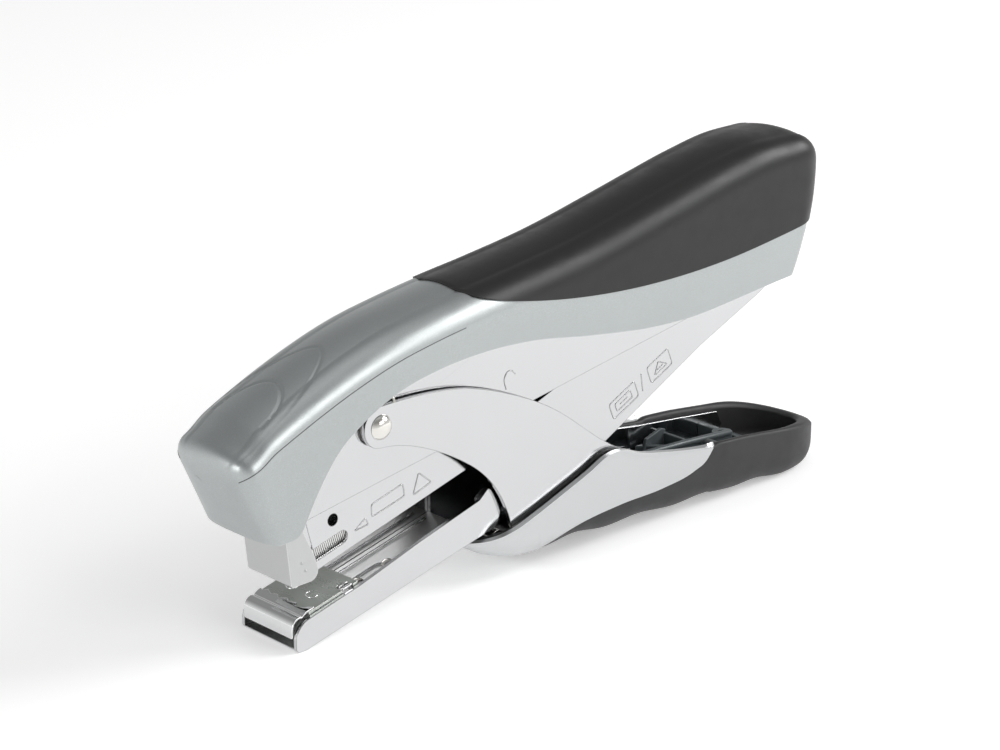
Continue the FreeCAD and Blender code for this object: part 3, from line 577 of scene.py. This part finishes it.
# the seam starts high on the front cap, settles just over the wall and ends at the grip; its dark grey
# bars are painted shade, standing in for the shade in the parting groove between the top and the side
SEAM_FIRST_ROW = 20
SEAM_COLUMN = 15.2
SEAM_END = -33
seam = []
for row in range(SEAM_FIRST_ROW, count_rows):
    place = SEAM_COLUMN + 5.5 * math.exp((14 - row) / 12)
    low, share = int(place), place % 1
    seam.append(cover[row, low] * (1 - share) + cover[row, low + 1] * share)
seam = np.array([point for point in seam if point[0] < SEAM_END])
bars("cover_seam", [seam, seam * (1, -1, 1)], 0.11, SEAM_SHADE, "upper_body", 8)


def clipped(section, low, count):
    """The part of an inverted U section that is above z low, as count even points."""
    half = len(section) // 2 + 1
    near = section[:half]
    above = np.argmax(near[:, 2] > low)
    if above > 0:
        a, b = near[above - 1], near[above]
        cut = a + (b - a) * (low - a[2]) / (b[2] - a[2])
        near = np.vstack([cut, near[above:]])
    near = resample(near, count)
    return np.vstack([near, near[-2::-1] * (1, -1, 1)])


GRIP_FRONT = -31.7
grip = []
steps = np.arange(42, COVER_LENGTH - REAR_DEPTH - 1, 1.5)
for place, inset in cover_rows(steps)[CAP_ROWS:]:
    section = cover_section(place, inset, proud=0.28)
    section[:, 0] += 0.45 * min(inset / 1.5, 1.0)
    top_of = section[len(section) // 2]
    if top_of[0] < GRIP_FRONT:
        continue
    edge_height = line_height(GRIP_EDGE, top_of[0])[0]
    at_edge = section[: len(section) // 2 + 1]
    edge_x = np.interp(edge_height, at_edge[:, 2], at_edge[:, 0])
    edge_height = line_height(GRIP_EDGE, edge_x)[0]
    grip.append(clipped(section, min(edge_height, top_of[2] - 0.25), 40))
grip = np.array(grip)
piece(
    "grip_pad", grip.reshape(-1, 3),
    grid_faces(*grip.shape[:2]) + end_faces(*grip.shape[:2])[grip.shape[1] // 2:],
    BLACK_RUBBER, "upper_body", ["upper_grip"],
    closed=False, wall=1.0, edge=0.3, angle=50,
)

# ---------------------------------------------------------------- lower handle
# side-view lines: under the handle, along its rim, and the rubber's edge on the silver shell
BOTTOM = [
    (-31, 9.9), (-26.2, 7.0), (-18.0, 4.6), (-8.0, 3.6), (2.0, 4.3), (12.0, 2.9), (24.0, 3.1),
    (36.0, 1.8), (48.0, 2.1), (58.0, 1.3), (66.0, 1.4), (76.0, 0.02), (85.0, 0.02), (90.2, 1.2),
    (93.8, 3.4), (95.3, 6.2),
]
RIM = [
    (-31, 9.95), (-26, 10.9), (-18.0, 13.1), (-12.0, 15.0), (-2.9, 18.1), (4.2, 20.6), (10.5, 23.1),
    (13.0, 23.4), (15.1, 23.2), (21.4, 20.9), (30.5, 18.8), (45.3, 16.2), (60.0, 14.8), (73.5, 13.0),
    (84.0, 11.6), (91.6, 9.7), (95.3, 8.5),
]
SKIN_EDGE = [
    (-10.5, 5.4), (-8.6, 6.0), (0.3, 8.1), (15.3, 9.4), (30.2, 9.6), (41.1, 11.1), (45.5, 12.9),
    (47.6, 15.2),
]


def handle_half(x, front, rear, widest):
    """Half width in plan: rounded front, long straight middle, pointed rear."""
    nose = np.clip((front + 15 - x) / 15, 0, 1)
    tail = np.clip((x - rear + 20) / 20, 0, 1)
    return widest * (1 - nose**2.4) ** (1 / 2.2) * (1 - tail**2.2) ** (1 / 1.9)


def handle_section(x, half, bottom, rim, corner, count=16):
    """U of points from the near rim down, across and up to the far rim."""
    r = max(min(corner, half * 0.9, (rim - bottom) * 0.9), 0.001)
    wall = np.stack([np.full(count, -half), np.linspace(rim, bottom + r, count)], axis=1)
    turn = np.linspace(0, math.pi / 2, 10)[1:]
    arc = np.stack([-(half - r) - r * np.cos(turn), bottom + r - r * np.sin(turn)], axis=1)
    flat = np.stack([np.linspace(-(half - r), 0, 8)[1:], np.full(7, bottom)], axis=1)
    side = np.vstack([wall, arc, flat])
    both = np.vstack([side, side[-2::-1] * (-1, 1)])
    return np.stack([np.full(len(both), x), both[:, 0], both[:, 1]], axis=1)


def spaced(low, high, count):
    """Places from low to high, closer together near both ends."""
    turn = np.linspace(0, math.pi, count)
    return low + (high - low) * (0.65 * (1 - np.cos(turn)) / 2 + 0.35 * np.linspace(0, 1, count))


STATIONS = 130
OUT_FRONT, OUT_REAR = -30.7, 95.3
IN_FRONT, IN_REAR, IN_HALF = -27.6, 90.8, 11.45
SHELL_END = 49  # in front of this the rubber sits inside the silver shell
out_x = spaced(OUT_FRONT, OUT_REAR, STATIONS)
in_x = spaced(IN_FRONT, IN_REAR, STATIONS)
widest = np.interp(out_x, [-40, 44, 53, 100], [13.1, 13.1, 13.65, 13.65])


def bottom_at(x):
    """Height of the handle's underside."""
    return floor_clear(line_height(BOTTOM, x)[0])


def rim_at(x):
    """Height of the handle's rim."""
    return line_height(RIM, x)[0]


outer = np.array([
    handle_section(
        x, handle_half(x, OUT_FRONT, OUT_REAR, w), bottom_at(x) + 0.25 * (x < SHELL_END),
        rim_at(x) - 0.5 * (x < SHELL_END), 4.6,
    )
    for x, w in zip(out_x, widest)
])
inner = np.array([
    handle_section(
        x, handle_half(x, IN_FRONT, IN_REAR, IN_HALF), min(bottom_at(x) + 2.2, rim_at(x) - 0.6),
        rim_at(x) - 0.5 * (x < SHELL_END) - 0.2, 3.0,
    )
    for x in in_x
])
columns = outer.shape[1]
verts = [outer.reshape(-1, 3), inner.reshape(-1, 3)]
faces = grid_faces(STATIONS, columns) + grid_faces(STATIONS, columns, start=STATIONS * columns)
rim_steps = np.linspace(0, 1, 7)
for column in (0, columns - 1):
    a, b = outer[:, column], inner[:, column]
    strip = a[:, None] + (b - a)[:, None] * rim_steps[None, :, None]
    thick = np.linalg.norm(b - a, axis=1)[:, None]
    strip[:, :, 2] += 0.35 * thick * np.sqrt(rim_steps * (1 - rim_steps))[None]
    first = sum(len(v) for v in verts)
    verts.append(strip.reshape(-1, 3))
    faces += grid_faces(STATIONS, len(rim_steps), start=first)
piece(
    "lower_grip_body", np.vstack(verts), faces, GREY_RUBBER, "lower_handle",
    ["lower_grip"], edge=0.0,
)

SKIN_FLOOR_END = -11.5
SKIN_FLOOR_SHARE = 0.66
SKIN_FRONT = -31.0
skin_x = spaced(SKIN_FRONT, 47.6, 110)
skin = []
for x in skin_x:
    half = handle_half(x, SKIN_FRONT, 97.0, 13.45)
    section = handle_section(x, half, bottom_at(x), rim_at(x), 4.6, 20)
    edge_height = line_height(SKIN_EDGE, max(x, SKIN_EDGE[0][0]))[0]
    near = section[: len(section) // 2 + 1][::-1]
    run = lengths(near)
    if x > SKIN_FLOOR_END:
        share = np.interp(edge_height, near[:, 2], run / run[-1])
    else:
        share = SKIN_FLOOR_SHARE
    even = np.r_[np.linspace(0, share, 14), np.linspace(share, 1, 26)[1:]] * run[-1]
    near = np.stack([np.interp(even, run, column) for column in near.T], axis=1)
    upper, lower = near[13:][::-1], near[:14][::-1]
    flare = np.linspace(0, 1, 26)
    upper[:, 1] -= np.minimum(0.25, half) * np.exp(-((flare / 0.07) ** 2))
    near_side = np.vstack([upper, lower[1:]])
    skin.append(np.vstack([near_side, near_side[-2::-1] * (1, -1, 1)]))
skin = np.array(skin)
keep = np.ones((len(skin) - 1, skin.shape[1] - 1), bool)
behind = skin_x[:-1] > SKIN_FLOOR_END
keep[np.ix_(behind, np.arange(25, skin.shape[1] - 26))] = False
piece(
    "lower_shell_skin", skin.reshape(-1, 3),
    grid_faces(*skin.shape[:2], outward=False, keep=keep),
    SHELL_SILVER, "lower_handle", ["lower_shell"],
    closed=False, wall=1.1, edge=0.3, angle=50,
)

# ---------------------------------------------------------------- springs
def coil_path(start, end, radius, turns, per_turn=18):
    """Points of a helix about the line from start to end."""
    start, end = np.array(start, float), np.array(end, float)
    along = (end - start) / np.linalg.norm(end - start)
    side = np.cross(along, (0, 1, 0))
    side /= np.linalg.norm(side)
    third = np.cross(along, side)
    u = np.linspace(0, 1, int(turns * per_turn) + 1)
    turn = 2 * math.pi * turns * u
    spokes = np.cos(turn)[:, None] * side + np.sin(turn)[:, None] * third
    return start + (end - start) * u[:, None] + radius * spokes


low, high = (np.array(corner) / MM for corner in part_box("magazine_spring"))
middle = (low + high) / 2
wire = 0.4
foot = (middle[0], middle[1], low[2] + wire)
head = (middle[0], middle[1], high[2] - wire)
spring = bars(
    "magazine_coil", [coil_path(foot, head, (high[1] - low[1]) / 2 - wire, 8)], wire,
    SPRING_STEEL, "upper_body", 8, replaces=["magazine_spring"],
)
MAGAZINE_SPRING = (spring, high[2])
low, high = (np.array(corner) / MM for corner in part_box("pusher_spring"))
middle = (low + high) / 2
radius = (high[1] - low[1]) / 2
reach = ((high[0] - low[0]) - 2 * radius * math.sin(TILT)) / math.cos(TILT) / 2
track = np.array((math.cos(TILT), 0, math.sin(TILT)))
wire = 0.3
pusher_coil = bars(
    "pusher_coil", [coil_path(middle - track * reach, middle + track * reach, radius - wire, 9)], wire,
    SPRING_STEEL, "magazine", 8, replaces=["pusher_spring"],
)

# ---------------------------------------------------------------- pressed and folded details
def raised_line(name, paths, y, radius, look, body, closed=True, sides=8):
    """Fine embossed lines on both side faces of a sheet part, from side-view paths at half width y."""
    lines = []
    for path in paths:
        path = np.array(path, float)
        if closed:
            path = np.vstack([path, path[:1]])
        path = resample(path, 60)[: -1 if closed else None]
        for side in (-y, y):
            lines.append(np.stack([path[:, 0], np.full(len(path), side), path[:, 1]], axis=1))
    return bars(name, lines, radius, look, body, sides, closed, squash=(1, 1))


def rounded(points, radius, count=5):
    """A closed outline with its corners cut round."""
    points = [np.array(p, float) for p in points]
    out = []
    for before, here, after in zip(points[-1:] + points[:-1], points, points[1:] + points[:1]):
        a = here + (before - here) / np.linalg.norm(before - here) * radius
        b = here + (after - here) / np.linalg.norm(after - here) * radius
        for u in np.linspace(0, 1, count):
            out.append(tuple((1 - u) ** 2 * a + 2 * u * (1 - u) * here + u**2 * b))
    return out


raised_line(
    "magazine_marks",
    [
        rounded([(-43.7, 31.3), (-45.4, 26.4), (-39.9, 28.2)], 0.5),
        rounded([(-57.6, 24.6), (-57.6, 27.6), (-48.4, 30.0), (-47.9, 27.0)], 0.6),
        rounded([(-59.4, 24.9), (-62.6, 22.7), (-58.6, 23.2)], 0.4),
    ],
    7.2, 0.17, NICKEL, "magazine",
)
raised_line(
    "frame_hook_mark",
    [smooth_path([(-19.1, 45.6), (-19.6, 48.4), (-18.9, 49.5), (-17.6, 49.8), (-16.3, 48.7)], 40)],
    9.6, 0.16, NICKEL, "upper_body", closed=False,
)
UP_ARM = np.array([(0.905, 0.425), (-0.425, 0.905)])


def on_arm(*pairs):
    """Points along and above the arm's sloping panel, as side-view points."""
    return [tuple(np.array((17.6, 28.6)) + np.array(p) @ UP_ARM) for p in pairs]


panel_lines = [
    rounded(on_arm((0, 0.4), (0.2, 4.8), (9.6, 4.8), (9.4, 0.4)), 0.7),
    rounded(on_arm((14.2, 0.4), (14.4, 5.0), (22.4, 5.0), (22.2, 0.4)), 0.7),
    rounded(on_arm((1.8, 1.5), (1.9, 3.7), (7.6, 3.7), (7.5, 1.5)), 0.4),
    rounded(on_arm((15.9, 1.5), (18.3, 4.0), (20.7, 1.5)), 0.4),
]
raised_line("arm_panel_marks", panel_lines, 8.4, 0.15, NICKEL, "anvil")
raised_line(
    "arm_panel_strokes",
    [
        on_arm((11.0, 0.6), (12.2, 4.9)),
        on_arm((3.4, 2.6), (6.1, 2.6)),
        on_arm((17.2, 2.3), (19.4, 2.3)),
    ],
    8.4, 0.15, NICKEL, "anvil", closed=False,
)

FLOOR_SLOPE = math.radians(12.93)
FLOOR = np.array((math.cos(FLOOR_SLOPE), 0, math.sin(FLOOR_SLOPE)))
FLOOR_UP = np.array((-FLOOR[2], 0, FLOOR[0]))


def on_floor(x, y, rise):
    """A point above the arm's sloping floor."""
    along = (x + 78.6) / FLOOR[0]
    return np.array((-78.6, y, 1.0)) + FLOOR * along + FLOOR_UP * rise


def floor_loop(x0, x1, half, rise, count=14):
    """Points of a long round-ended loop over the arm's floor."""
    turn = np.linspace(-math.pi / 2, math.pi / 2, count)
    ends = [(x1 + half * math.cos(t), half * math.sin(t)) for t in turn]
    ends += [(x0 - half * math.cos(t), -half * math.sin(t)) for t in turn]
    return [on_floor(x, y, rise) for x, y in ends]


FLOOR_NICKEL = finish_look(
    "satin_nickel", (0.78, 0.78, 0.77), 1.0, 0.34, spread=0.04, tint=0.02, grain=0.5, depth=0.001,
    stretch=(5, 1, 1), edge_tone_and_shade=(0.9, 0.9, 0.88), blotch=10,
)
floor_sheet = np.array([
    [on_floor(x, y, 0.08) for y in np.linspace(8.3, -8.3, 9)] for x in np.linspace(-62.4, -27.0, 30)
])
piece(
    "arm_floor_sheet", floor_sheet.reshape(-1, 3), grid_faces(*floor_sheet.shape[:2]), FLOOR_NICKEL,
    "anvil", closed=False, wall=0.06, edge=0.0,
)
rivet_turn = np.linspace(0, 2 * math.pi, 28, endpoint=False)
rivet_ring = [on_floor(-39.6 + 1.9 * math.cos(t), -3.2 + 1.5 * math.sin(t), 0.25) for t in rivet_turn]
bars("floor_rivet_ring", [rivet_ring], 0.4, DARK_STEEL, "anvil", 10, closed=True)
bars(
    "floor_slot_rim", [floor_loop(-56.5, -49.5, 1.7, 0.15)], 0.45, NICKEL, "anvil", 10,
    closed=True,
)
slot_well = [on_floor(x, y, 0.06) for x, y, _ in floor_loop(-56.5, -49.5, 1.5, 0)]
piece(
    "floor_slot_well", slot_well, [tuple(range(len(slot_well)))], DARK_STEEL, "anvil",
    closed=False, wall=0.05,
)
for name, y in (("floor_guide_far", 6.4), ("floor_guide_near", -6.4)):
    path = [on_floor(x, y, 0.25) for x in np.linspace(-60.0, -29.5, 12)]
    bars(name, [path], 0.5, NICKEL, "anvil", 10, squash=(1, 0.7))

# ---------------------------------------------------------------- anvil plate
def arc_points(centre, radius, start, stop, count):
    """Side-view points on an arc from start to stop degrees."""
    turn = np.radians(np.linspace(start, stop, count))
    return [(centre[0] + radius * math.cos(t), centre[1] + radius * math.sin(t)) for t in turn]


PLATE_RISE = math.tan(FLOOR_SLOPE)


def plate_height(x, lift=0.0):
    """Height of the sloping plate's top."""
    return 11.42 + (x + 62.8) * PLATE_RISE + lift


face_edge = [
    (-62.9, 8.3), (-76.9, 8.3), (-76.9, -8.3), (-67.2, -8.3), (-67.5, -6.8), (-67.0, -5.9),
    (-65.6, -5.7), (-64.6, -6.6), (-64.3, -8.3), (-62.9, -8.3),
]
face = bmesh.new()
ring = [face.verts.new((x * MM, y * MM, plate_height(x) * MM)) for x, y in face_edge]
face.faces.new(ring)
bmesh.ops.triangulate(face, faces=face.faces)
face.verts.index_update()
face_points = [tuple(v.co / MM) for v in face.verts]
face_faces = [tuple(v.index for v in f.verts) for f in face.faces]
face.free()
piece(
    "anvil_face", face_points, face_faces, ANVIL_STEEL, "anvil", ["anvil_plate"],
    closed=False, wall=0.9, edge=0.1,
)

ROLL_HALF = 8.35
roll_profile = [(-76.9, 8.26), (-77.6, 8.1), (-78.4, 7.7)]
roll_profile += arc_points((-79.3, 5.55), 1.85, 66, 172, 12) + [(-81.15, 3.2)]
roll_profile = smooth_path(roll_profile, 40)
across = np.linspace(-1, 1, 67)
wide = np.array([ROLL_HALF] * 40)
wide[-1] = 7.9
roll = np.array([[(x, y * w, z - 0.1) for y in across] for (x, z), w in zip(roll_profile, wide)])
torn_y = [-8.35, -7.4, -6.6, -4.4, -3.5, -1.4, -0.3, 1.6, 3.0, 4.4, 6.3, 7.2, 8.35]
torn_x = [1.5, 1.1, 0.2, -0.3, 0.7, 0.1, 0.8, -0.2, 0.6, -0.1, 0.7, -0.2, 0.3]
torn = np.interp(across * ROLL_HALF, torn_y, torn_x)
fade = np.linspace(1, 0, 9) ** 1.5
roll[:9, :, 0] += fade[:, None] * torn
roll[:9, :, 2] += fade[:, None] * torn * PLATE_RISE + 0.05 * fade[:, None] * np.abs(torn)
roll[:, :, 2] -= 0.2 * np.exp(-((roll[:, :, 0] + 78.3) / 0.7) ** 2)
piece(
    "anvil_roll", roll.reshape(-1, 3), grid_faces(*roll.shape[:2]), CHROME, "anvil",
    closed=False, wall=0.5, edge=0.1, angle=50,
)
turn = np.linspace(-0.5, math.pi + 0.5, 24)
crimp_x = [-72.0 - 1.1 * math.sin(t) for t in turn]
crimp = [
    [(x, y + 1.5 * math.cos(t), plate_height(x, 0.02)) for x, t in zip(crimp_x, turn)]
    for y in (-3.4, 3.4)
]
bars("crimp_rings", crimp, 0.17, CHROME, "anvil", 8)
tab = [(-67.0, 10.0), (-64.7, 10.5), (-64.5, 11.3), (-66.8, 10.8)]
tabs = [(tab, y0, y1) for y0, y1 in ((-8.3, -7.6), (-6.9, -6.4))]
prisms("anvil_tabs", tabs, CHROME, "anvil", 0.15)

# ---------------------------------------------------------------- inside the lower handle
liner = [
    (14.0, 8.4), (76.0, 6.6), (77.5, 8.0), (75.5, 11.9), (60.0, 13.8), (44.0, 15.6), (30.0, 17.8),
    (20.7, 20.0), (14.0, 20.6),
]
liners = [(liner, 10.25, 11.2), (liner, -11.2, -10.25)]
prisms("tray_liner", liners, NICKEL, "lower_handle", 0.2)
prisms(
    "tray_webs",
    [
        ([(44.0, 7.0), (53.0, 6.8), (53.0, 13.4), (51.4, 14.0), (46.0, 12.4)], 7.4, 8.4),
        ([(52.2, 6.8), (53.2, 6.8), (53.2, 12.6), (52.2, 12.6)], 1.0, 10.2),
        ([(30.0, 6.8), (68.0, 5.6), (66.0, 11.6), (50.0, 12.9), (32.0, 14.0)], -2.6, -1.6),
        ([(68.0, 5.4), (69.2, 5.4), (69.2, 10.4), (68.0, 10.4)], -10.2, 10.2),
    ],
    CORE_PLASTIC, "lower_handle", 0.25,
)
bars(
    "tray_rail", [[(31.6, -2.1, 14.1), (50.0, -2.1, 13.0), (66.4, -2.1, 11.7)]], 0.9, CORE_PLASTIC,
    "lower_handle", 14,
)
bars(
    "tray_boss", [[(55.6, -10.2, 11.6), (55.6, -7.0, 11.6), (55.6, -4.2, 11.6)]], 1.7, CORE_PLASTIC,
    "lower_handle", 24,
)

# ---------------------------------------------------------------- spring leg and staples
leg = smooth_path(
    [(-57.9, -9.9, 50.0), (-56.6, -10.0, 52.0), (-55.2, -10.4, 52.9), (-54.4, -11.0, 52.7),
     (-54.2, -11.4, 51.5)],
    24,
)
bars("spring_leg", [leg, leg * (1, -1, 1)], 0.4, SPRING_STEEL, "upper_body", 10)

cheek = [(-79.0, 31.0), (-74.0, 32.4), (-72.6, 29.4), (-75.4, 20.5), (-77.8, 20.5)]
cheeks = [(cheek, 6.6, 7.12), (cheek, -7.12, -6.6)]
prisms("nose_cheeks", cheeks, NICKEL, "magazine", 0.1)
dimples = [
    [(x, side * 7.3, z), (x, side * 7.53, z)]
    for x, z in ((-77.7, 19.6), (-76.7, 17.6)) for side in (-1, 1)
]
bars("nose_dimples", dimples, 0.34, NOSE_PLASTIC, "magazine", 16)

TRACK_UP = np.array((-math.sin(TILT), 0, math.cos(TILT)))
TRACK_ALONG = np.array((math.cos(TILT), 0, math.sin(TILT)))
staple_shape = [(-6.15, 1.25), (-6.15, 6.5)]
for t in np.linspace(math.pi, math.pi / 2, 5):
    staple_shape.append((-5.75 + 0.4 * math.cos(t), 6.55 + 0.4 * math.sin(t)))
staple_shape += [(-y, up) for y, up in staple_shape[::-1]]
staples = []
for number in range(25):
    along = -1.45 + 0.26 + number * 0.52
    start = np.array((-74.0, 0, 16.4)) + TRACK_ALONG * along
    staples.append(np.array([start + TRACK_UP * up + np.array((0, y, 0)) for y, up in staple_shape]))
bars("staples", staples, 0.25, STAPLE_WIRE, "magazine", 6, replaces=["staple_strip"])

# ---------------------------------------------------------------- carried-over nodes
LOOKS = {
    "upper_frame": NICKEL, "near_link_plate": NICKEL, "far_link_plate": NICKEL, "anvil_arm": NICKEL,
    "magazine_channel": NICKEL, "staple_rail": CHROME, "anvil_rivets": RIVET_NICKEL,
    "pivot_rivet": RIVET_NICKEL, "rear_pivot_pin": RIVET_NICKEL, "handle_pins": RIVET_NICKEL,
    "lift_bar": RIVET_NICKEL, "lift_bar_pin": RIVET_NICKEL, "cover_pins": RIVET_NICKEL,
    "holder_pin": RIVET_NICKEL, "driver_blade": DARK_STEEL, "driver_holder": HOLDER_PLASTIC,
    "rivet_washers": WASHER_NYLON, "return_spring": SPRING_STEEL, "nose_guard": NOSE_PLASTIC,
    "guide_rod": CHROME, "rod_stop": HOLDER_PLASTIC, "spring_seat": HOLDER_PLASTIC,
    "handle_core": CORE_PLASTIC, "staple_pusher": PUSHER_PLASTIC,
}
SOFT_EDGES = {"nose_guard": 0.6, "handle_core": 0.2, "return_spring": 0.0, "pivot_rivet": 0.15}
for node, look in LOOKS.items():
    dress(node, look, SOFT_EDGES.get(node, 0.09))

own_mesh(MAGAZINE_SPRING[0])
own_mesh(pusher_coil)

# ---------------------------------------------------------------- camera, floor, light
def look_at(obj, target):
    """Turns a camera or light to face the target."""
    obj.rotation_euler = (Vector(target) - obj.location).to_track_quat("-Z", "Y").to_euler()


camera = bpy.data.objects.new("camera", bpy.data.cameras.new("camera"))
camera.data.lens = 93.6
camera.data.sensor_width = 36
camera.location = (-0.40234, -0.41006, 0.23883)
look_at(camera, (-0.011225, 0.000658, 0.044648))
bpy.context.scene.collection.objects.link(camera)
bpy.context.scene.camera = camera
bpy.context.scene.view_settings.view_transform = "Standard"

floor_mesh = bpy.data.meshes.new("floor")
floor_mesh.from_pydata([(-4, -4, 0), (4, -4, 0), (4, 4, 0), (-4, 4, 0)], [], [(0, 1, 2, 3)])
floor = bpy.data.objects.new("floor", floor_mesh)
bpy.context.scene.collection.objects.link(floor)
floor_look, _, floor_shader = nodes_of("studio_floor")
floor_shader.inputs["Base Color"].default_value = (0.93, 0.93, 0.93, 1)
floor_shader.inputs["Roughness"].default_value = 0.9
floor_shader.inputs["Emission Color"].default_value = (1, 1, 1, 1)
floor_shader.inputs["Emission Strength"].default_value = 0.32
floor_shader.inputs["Specular IOR Level"].default_value = 0.0
floor_mesh.materials.append(floor_look)


def softbox(name, place, target, width, height, power, colour=(1, 1, 1)):
    """A rectangular area light at a place in metres, aimed at target."""
    light = bpy.data.lights.new(name, "AREA")
    light.shape = "RECTANGLE"
    light.size = width
    light.size_y = height
    light.energy = power
    light.color = colour
    obj = bpy.data.objects.new(name, light)
    obj.location = place
    look_at(obj, target)
    bpy.context.scene.collection.objects.link(obj)
    return obj


CENTRE = (0, 0, 0.04)
softbox("right_high", (1.0, -0.6, 0.85), CENTRE, 0.7, 0.6, 10)
softbox("front", (0.3, -1.5, 0.8), CENTRE, 1.0, 0.6, 7)
softbox("left", (-1.3, 0.3, 0.3), CENTRE, 0.5, 0.4, 3)

world = bpy.data.worlds.new("tent")
bpy.context.scene.world = world
world.use_nodes = True
tree = world.node_tree
background = tree.nodes["Background"]
place = tree.nodes.new("ShaderNodeTexCoord")
parts = tree.nodes.new("ShaderNodeSeparateXYZ")
tree.links.new(place.outputs["Generated"], parts.inputs[0])
ramp = tree.nodes.new("ShaderNodeValToRGB")
tree.links.new(ranged(tree, parts.outputs["Z"], -1, 1, 0, 1), ramp.inputs[0])
ramp.color_ramp.elements[0].color = (0.9, 0.9, 0.9, 1)
ramp.color_ramp.elements[1].color = (0.9, 0.9, 0.9, 1)
for position, grey in ((0.5, 0.85), (0.62, 0.60), (0.80, 0.27), (0.92, 0.30)):
    element = ramp.color_ramp.elements.new(position)
    element.color = (grey, grey, grey, 1)
tree.links.new(ramp.outputs["Color"], background.inputs["Color"])
background.inputs["Strength"].default_value = 1.0
